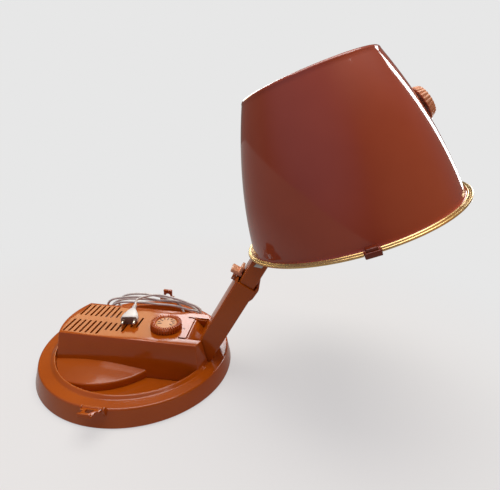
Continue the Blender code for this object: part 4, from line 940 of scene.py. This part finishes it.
@dataclass
class Plug:
    """The two-pin contour plug with a grey insert, its pins and a tapered relief."""

    cord: Cord
    pitch: float = 19.0
    pieces: list[bpy.types.Object] = field(default_factory=list)

    def loft(self, sections: list[Point], power: float = 2.6) -> Mesh:
        """Returns a body through rounded cross-sections of (place along Y, half width, half height)."""
        bm = bmesh.new()
        rings = []
        for y, half_x, half_z in sections:
            ring = bmesh.ops.create_circle(bm, segments=48, radius=1.0)["verts"]
            for vertex in ring:
                c, s = vertex.co.x, vertex.co.y
                x = math.copysign(abs(c) ** (2 / power), c) * half_x
                z = math.copysign(abs(s) ** (2 / power), s) * half_z
                vertex.co = (x, y, z)
            rings.append(list({edge for vertex in ring for edge in vertex.link_edges}))
        for a, b in zip(rings, rings[1:]):
            bmesh.ops.bridge_loops(bm, edges=a + b)
        for ring in (rings[0], rings[-1]):
            bmesh.ops.contextual_create(bm, geom=ring)
        bmesh.ops.recalc_face_normals(bm, faces=bm.faces)
        return bm

    def build(self) -> None:
        """Builds the plug lying on the housing."""
        place = Matrix.Translation(self.cord.face) @ turn_about("Z", self.cord.turn)
        body = self.loft([(0.9, 12.9, 6.4), (0.0, 13.6, 7.0), (0.8, 14.3, 7.7), (3.0, 14.6, 8.0),
                          (10.0, 14.2, 7.9), (18.0, 12.2, 7.5), (25.0, 9.4, 6.9), (31.0, 6.9, 6.1),
                          (34.5, 5.5, 5.3), (36.0, 5.0, 5.0)], 3.0)
        relief = [(35.4, 4.5, 4.5)]
        for i in range(6):
            y, r = 37.0 + 3.0 * i, 4.3 - 0.24 * i
            relief += [(y, r, r), (y + 1.5, r, r), (y + 1.6, r - 0.7, r - 0.7), (y + 2.9, r - 0.75, r - 0.75)]
        relief.append((56.0, 2.5, 2.5))
        body = merged(body, self.loft(relief, 2.0))
        self.show("plug_shell", body, place, PAINT.plug, "plug_body")
        corner = rounded([(0, -6.5, 0), (12.9, -6.5, 4.0), (12.9, 6.5, 4.0), (-12.9, 6.5, 4.0),
                          (-12.9, -6.5, 4.0), (0, -6.5, 0)])[:-1]
        insert = soften(prism(corner, 1.8, Axis.Y), 0.5, 2, 50)
        insert = moved(insert, Matrix.Translation((0, 0.5, 0)))
        self.show("plug_insert", insert, place, PAINT.face)
        for i, side in ((1, -1), (2, 1)):
            seat = Matrix.Translation((side * self.pitch / 2, 0, 0)) @ turn_about("X", 90)
            pin = lathe(rounded([(0, 13.0, 0), (2.3, 13.0, 1.4), (2.3, 0.2, 0), (0, 0.2, 0)], 6), 32)
            self.show(f"pin_{i}", moved(pin, seat), place, PAINT.pins, f"plug_pin_{i}")
            collar = lathe(rounded([(2.3, 3.0, 0), (3.0, 2.8, 0.5), (3.5, 0.2, 0), (2.3, 0.2, 0)]), 32)
            self.show(f"pin_collar_{i}", moved(collar, seat), place, PAINT.face)

    def show(self, name: str, bm: Mesh, place: Matrix, finish: Finish,
             node: str | None = None) -> None:
        """Adds one piece of the plug to the scene."""
        piece = to_object(name, moved(bm, place), finish.make(), 40)
        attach(piece, "base")
        if node:
            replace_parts(piece, node)
        self.pieces.append(piece)


# ---- stage ----


@dataclass
class Studio:
    """Camera, pale floor and soft light."""

    eye: Point = (235.7, -532.5, 415.0)
    aim: Point = (191.2, 10.9, 230.9)
    roll: float = 0.055
    lens: float = 25.4
    overhead: float = 36.0
    backdrop: str = "#E7E7E7"
    bounce: str = "#A09C98"
    wall: str = "#6E6A66"
    room: str = "#45423F"
    ceiling: str = "#D4D0CC"
    glows: tuple[tuple[Point, float, str], ...] = (
        ((-0.55, -0.66, 0.51), 0.5, "#9A94B8"), ((0.86, -0.45, 0.24), 0.6, "#C88E60"))

    def camera(self) -> None:
        """Sets the camera up."""
        data = bpy.data.cameras.new("camera")
        data.lens, data.sensor_width, data.sensor_fit = self.lens, 36.0, "HORIZONTAL"
        data.clip_start, data.clip_end = 0.01, 50.0
        data.dof.use_dof = False
        camera = bpy.data.objects.new("camera", data)
        bpy.context.scene.collection.objects.link(camera)
        away = (Vector(self.eye) - Vector(self.aim)).normalized()
        right = Vector((0, 0, 1)).cross(away).normalized()
        up = away.cross(right)
        c, s = math.cos(self.roll), math.sin(self.roll)
        axes = Matrix((c * right + s * up, c * up - s * right, away)).transposed()
        camera.matrix_world = Matrix.Translation(Vector(self.eye) * MM) @ axes.to_4x4()
        bpy.context.scene.camera = camera

    def light(self, name: str, at: Point, aim: Point,
              size: tuple[float, float], power: float, colour: str) -> bpy.types.Object:
        """Returns a new soft box that looks at a point and stays out of the camera's sight."""
        data = bpy.data.lights.new(name, "AREA")
        data.shape, data.size, data.size_y = "RECTANGLE", size[0], size[1]
        data.energy = power
        data.color = linear(colour)[:3]
        lamp = bpy.data.objects.new(name, data)
        lamp.visible_camera = False
        bpy.context.scene.collection.objects.link(lamp)
        direction = Vector(aim) - Vector(at)
        lamp.matrix_world = Matrix.Translation(at) @ direction.to_track_quat("-Z", "Y").to_matrix().to_4x4()
        return lamp

    def build(self) -> None:
        """Builds the floor, the lights and the world."""
        bm = bmesh.new()
        bmesh.ops.create_grid(bm, x_segments=1, y_segments=1, size=6000)
        floor = to_object("floor", bm, self.sweep())
        self.light("overhead", (0.1, 0.2, 2.2), (0.1, 0.2, 0), (2.0, 1.3), self.overhead, "#FFFCF8")
        spared = bpy.data.collections.new("spared_by_the_boxes")
        spared.objects.link(floor)
        spared.collection_objects[0].light_linking.link_state = "EXCLUDE"
        boxes = [
            self.light("warm_wall", (-0.72, 1.2, 0.87), (0.0, 0.0, 0.1), (0.55, 0.4), 2.2, "#FFE2AE"),
            self.light("window", (-0.15, 1.2, 0.84), (0.0, 0.0, 0.1), (0.5, 0.45), 5.5, "#FFFFFF"),
            self.light("high_window", (-0.56, 1.2, 1.39), (0.06, -0.15, 0.03), (0.22, 0.05), 0.5, "#FFFFFF"),
            self.light("side_strip", (1.35, 1.15, 0.7), (0.35, 0.0, 0.35), (0.22, 1.5), 9.0, "#FFFFFF"),
        ]
        for lamp in boxes:
            lamp.light_linking.receiver_collection = spared
        self.surround()
        bpy.context.scene.view_settings.view_transform = "Standard"
        bpy.context.scene.view_settings.look = "None"

    def surround(self) -> None:
        """The world: a pale backdrop, in a room that is dim behind the user and lit from above."""
        world = bpy.data.worlds.new("studio")
        bpy.context.scene.world = world
        world.use_nodes = True
        tree = world.node_tree
        look = add(tree, "ShaderNodeTexCoord").outputs["Generated"]
        way = add(tree, "ShaderNodeSeparateXYZ", Vector=look)
        behind = ramp(tree, way.outputs["Y"], From_Min=-0.25, From_Max=0.3)
        wall = blend(tree, behind, linear(self.room), linear(self.wall))
        above = ramp(tree, way.outputs["Z"], From_Min=0.6, From_Max=0.95)
        sky = blend(tree, above, wall, linear(self.ceiling))
        for towards, start, tone in self.glows:
            near = add(tree, "ShaderNodeVectorMath", operation="DOT_PRODUCT", i0=look, i1=towards)
            glow = ramp(tree, near.outputs["Value"], From_Min=start)
            sky = blend(tree, glow, sky, linear(tone))
        seen = add(tree, "ShaderNodeLightPath").outputs["Is Camera Ray"]
        both = blend(tree, seen, sky, linear(self.backdrop))
        tree.links.new(both, tree.nodes["Background"].inputs["Color"])

    def sweep(self) -> bpy.types.Material:
        """Returns the paper sweep: matt and pale near the dryer, an even backdrop further off."""
        material = Finish("pale paper sweep", "#EDEAE7", "#EAE7E3", 0.8, cloud=400.0, grain=3.0, relief=0.02,
                          scuffs=0.05, specular=0.1).make()
        tree = material.node_tree
        place = add(tree, "ShaderNodeTexCoord").outputs["Object"]
        away = add(tree, "ShaderNodeVectorMath", operation="DISTANCE", i0=place, i1=(0.15, 0.0, 0.0))
        share = ramp(tree, away.outputs["Value"], From_Min=0.3, From_Max=0.9, To_Min=0.68)
        seen = add(tree, "ShaderNodeLightPath").outputs["Is Camera Ray"]
        tone = blend(tree, seen, linear(self.bounce), linear(self.backdrop))
        even = add(tree, "ShaderNodeEmission", Color=tone).outputs[0]
        paper = tree.nodes["Principled BSDF"].outputs[0]
        both = add(tree, "ShaderNodeMixShader", i0=share, i1=paper, i2=even).outputs[0]
        tree.links.new(both, tree.nodes["Material Output"].inputs["Surface"])
        return material


# ---- the rest of the frame ----

DRESSED = (
    (PAINT.steel, ("base_plate", "motor_body", "motor_bridge", "arm_pin", "lever_pin", "hood_pin",
                   "latch_pin_front", "latch_pin_back", "thermal_cutout", "plate_screw_1",
                   "plate_screw_2", "plate_screw_3", "plate_screw_4")),
    (PAINT.grey, ("fan_impeller", "rotary_switch", "terminal_block", "terminal_post", "dial_spindle",
                  "hood_knob_spindle", "vent_disc")),
    (PAINT.mica, ("heater_frame",)),
    (PAINT.wire, ("heater_coil_front", "heater_coil_back")),
    (PAINT.rubber, ("cord_gland", "foot_1", "foot_2", "foot_3", "foot_4", "foot_5")),
)
DRESS = {name: finish for finish, names in DRESSED for name in names}


def dress_frame() -> None:
    """Gives every CAD node a detailed finish, whether or not a finer piece stands for it."""
    for name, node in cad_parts.items():
        material = DRESS.get(name, PAINT.base).make()
        for slot in node.material_slots:
            slot.material = material
        if not node.material_slots:
            node.data.materials.append(material)


def main() -> None:
    """Builds the scene in order: camera, cord and plug, then the dryer and the stage."""
    logging.basicConfig(level=logging.INFO, format="%(name)s: %(message)s")
    studio = Studio()
    studio.camera()
    cord = Cord()
    plug = Plug(cord)
    plug.build()
    cord.build(plug)
    for part in (Base(), Housing(), Arm(), Hood()):
        part.build()
    dress_frame()
    studio.build()


if __name__ == "__main__":
    main()
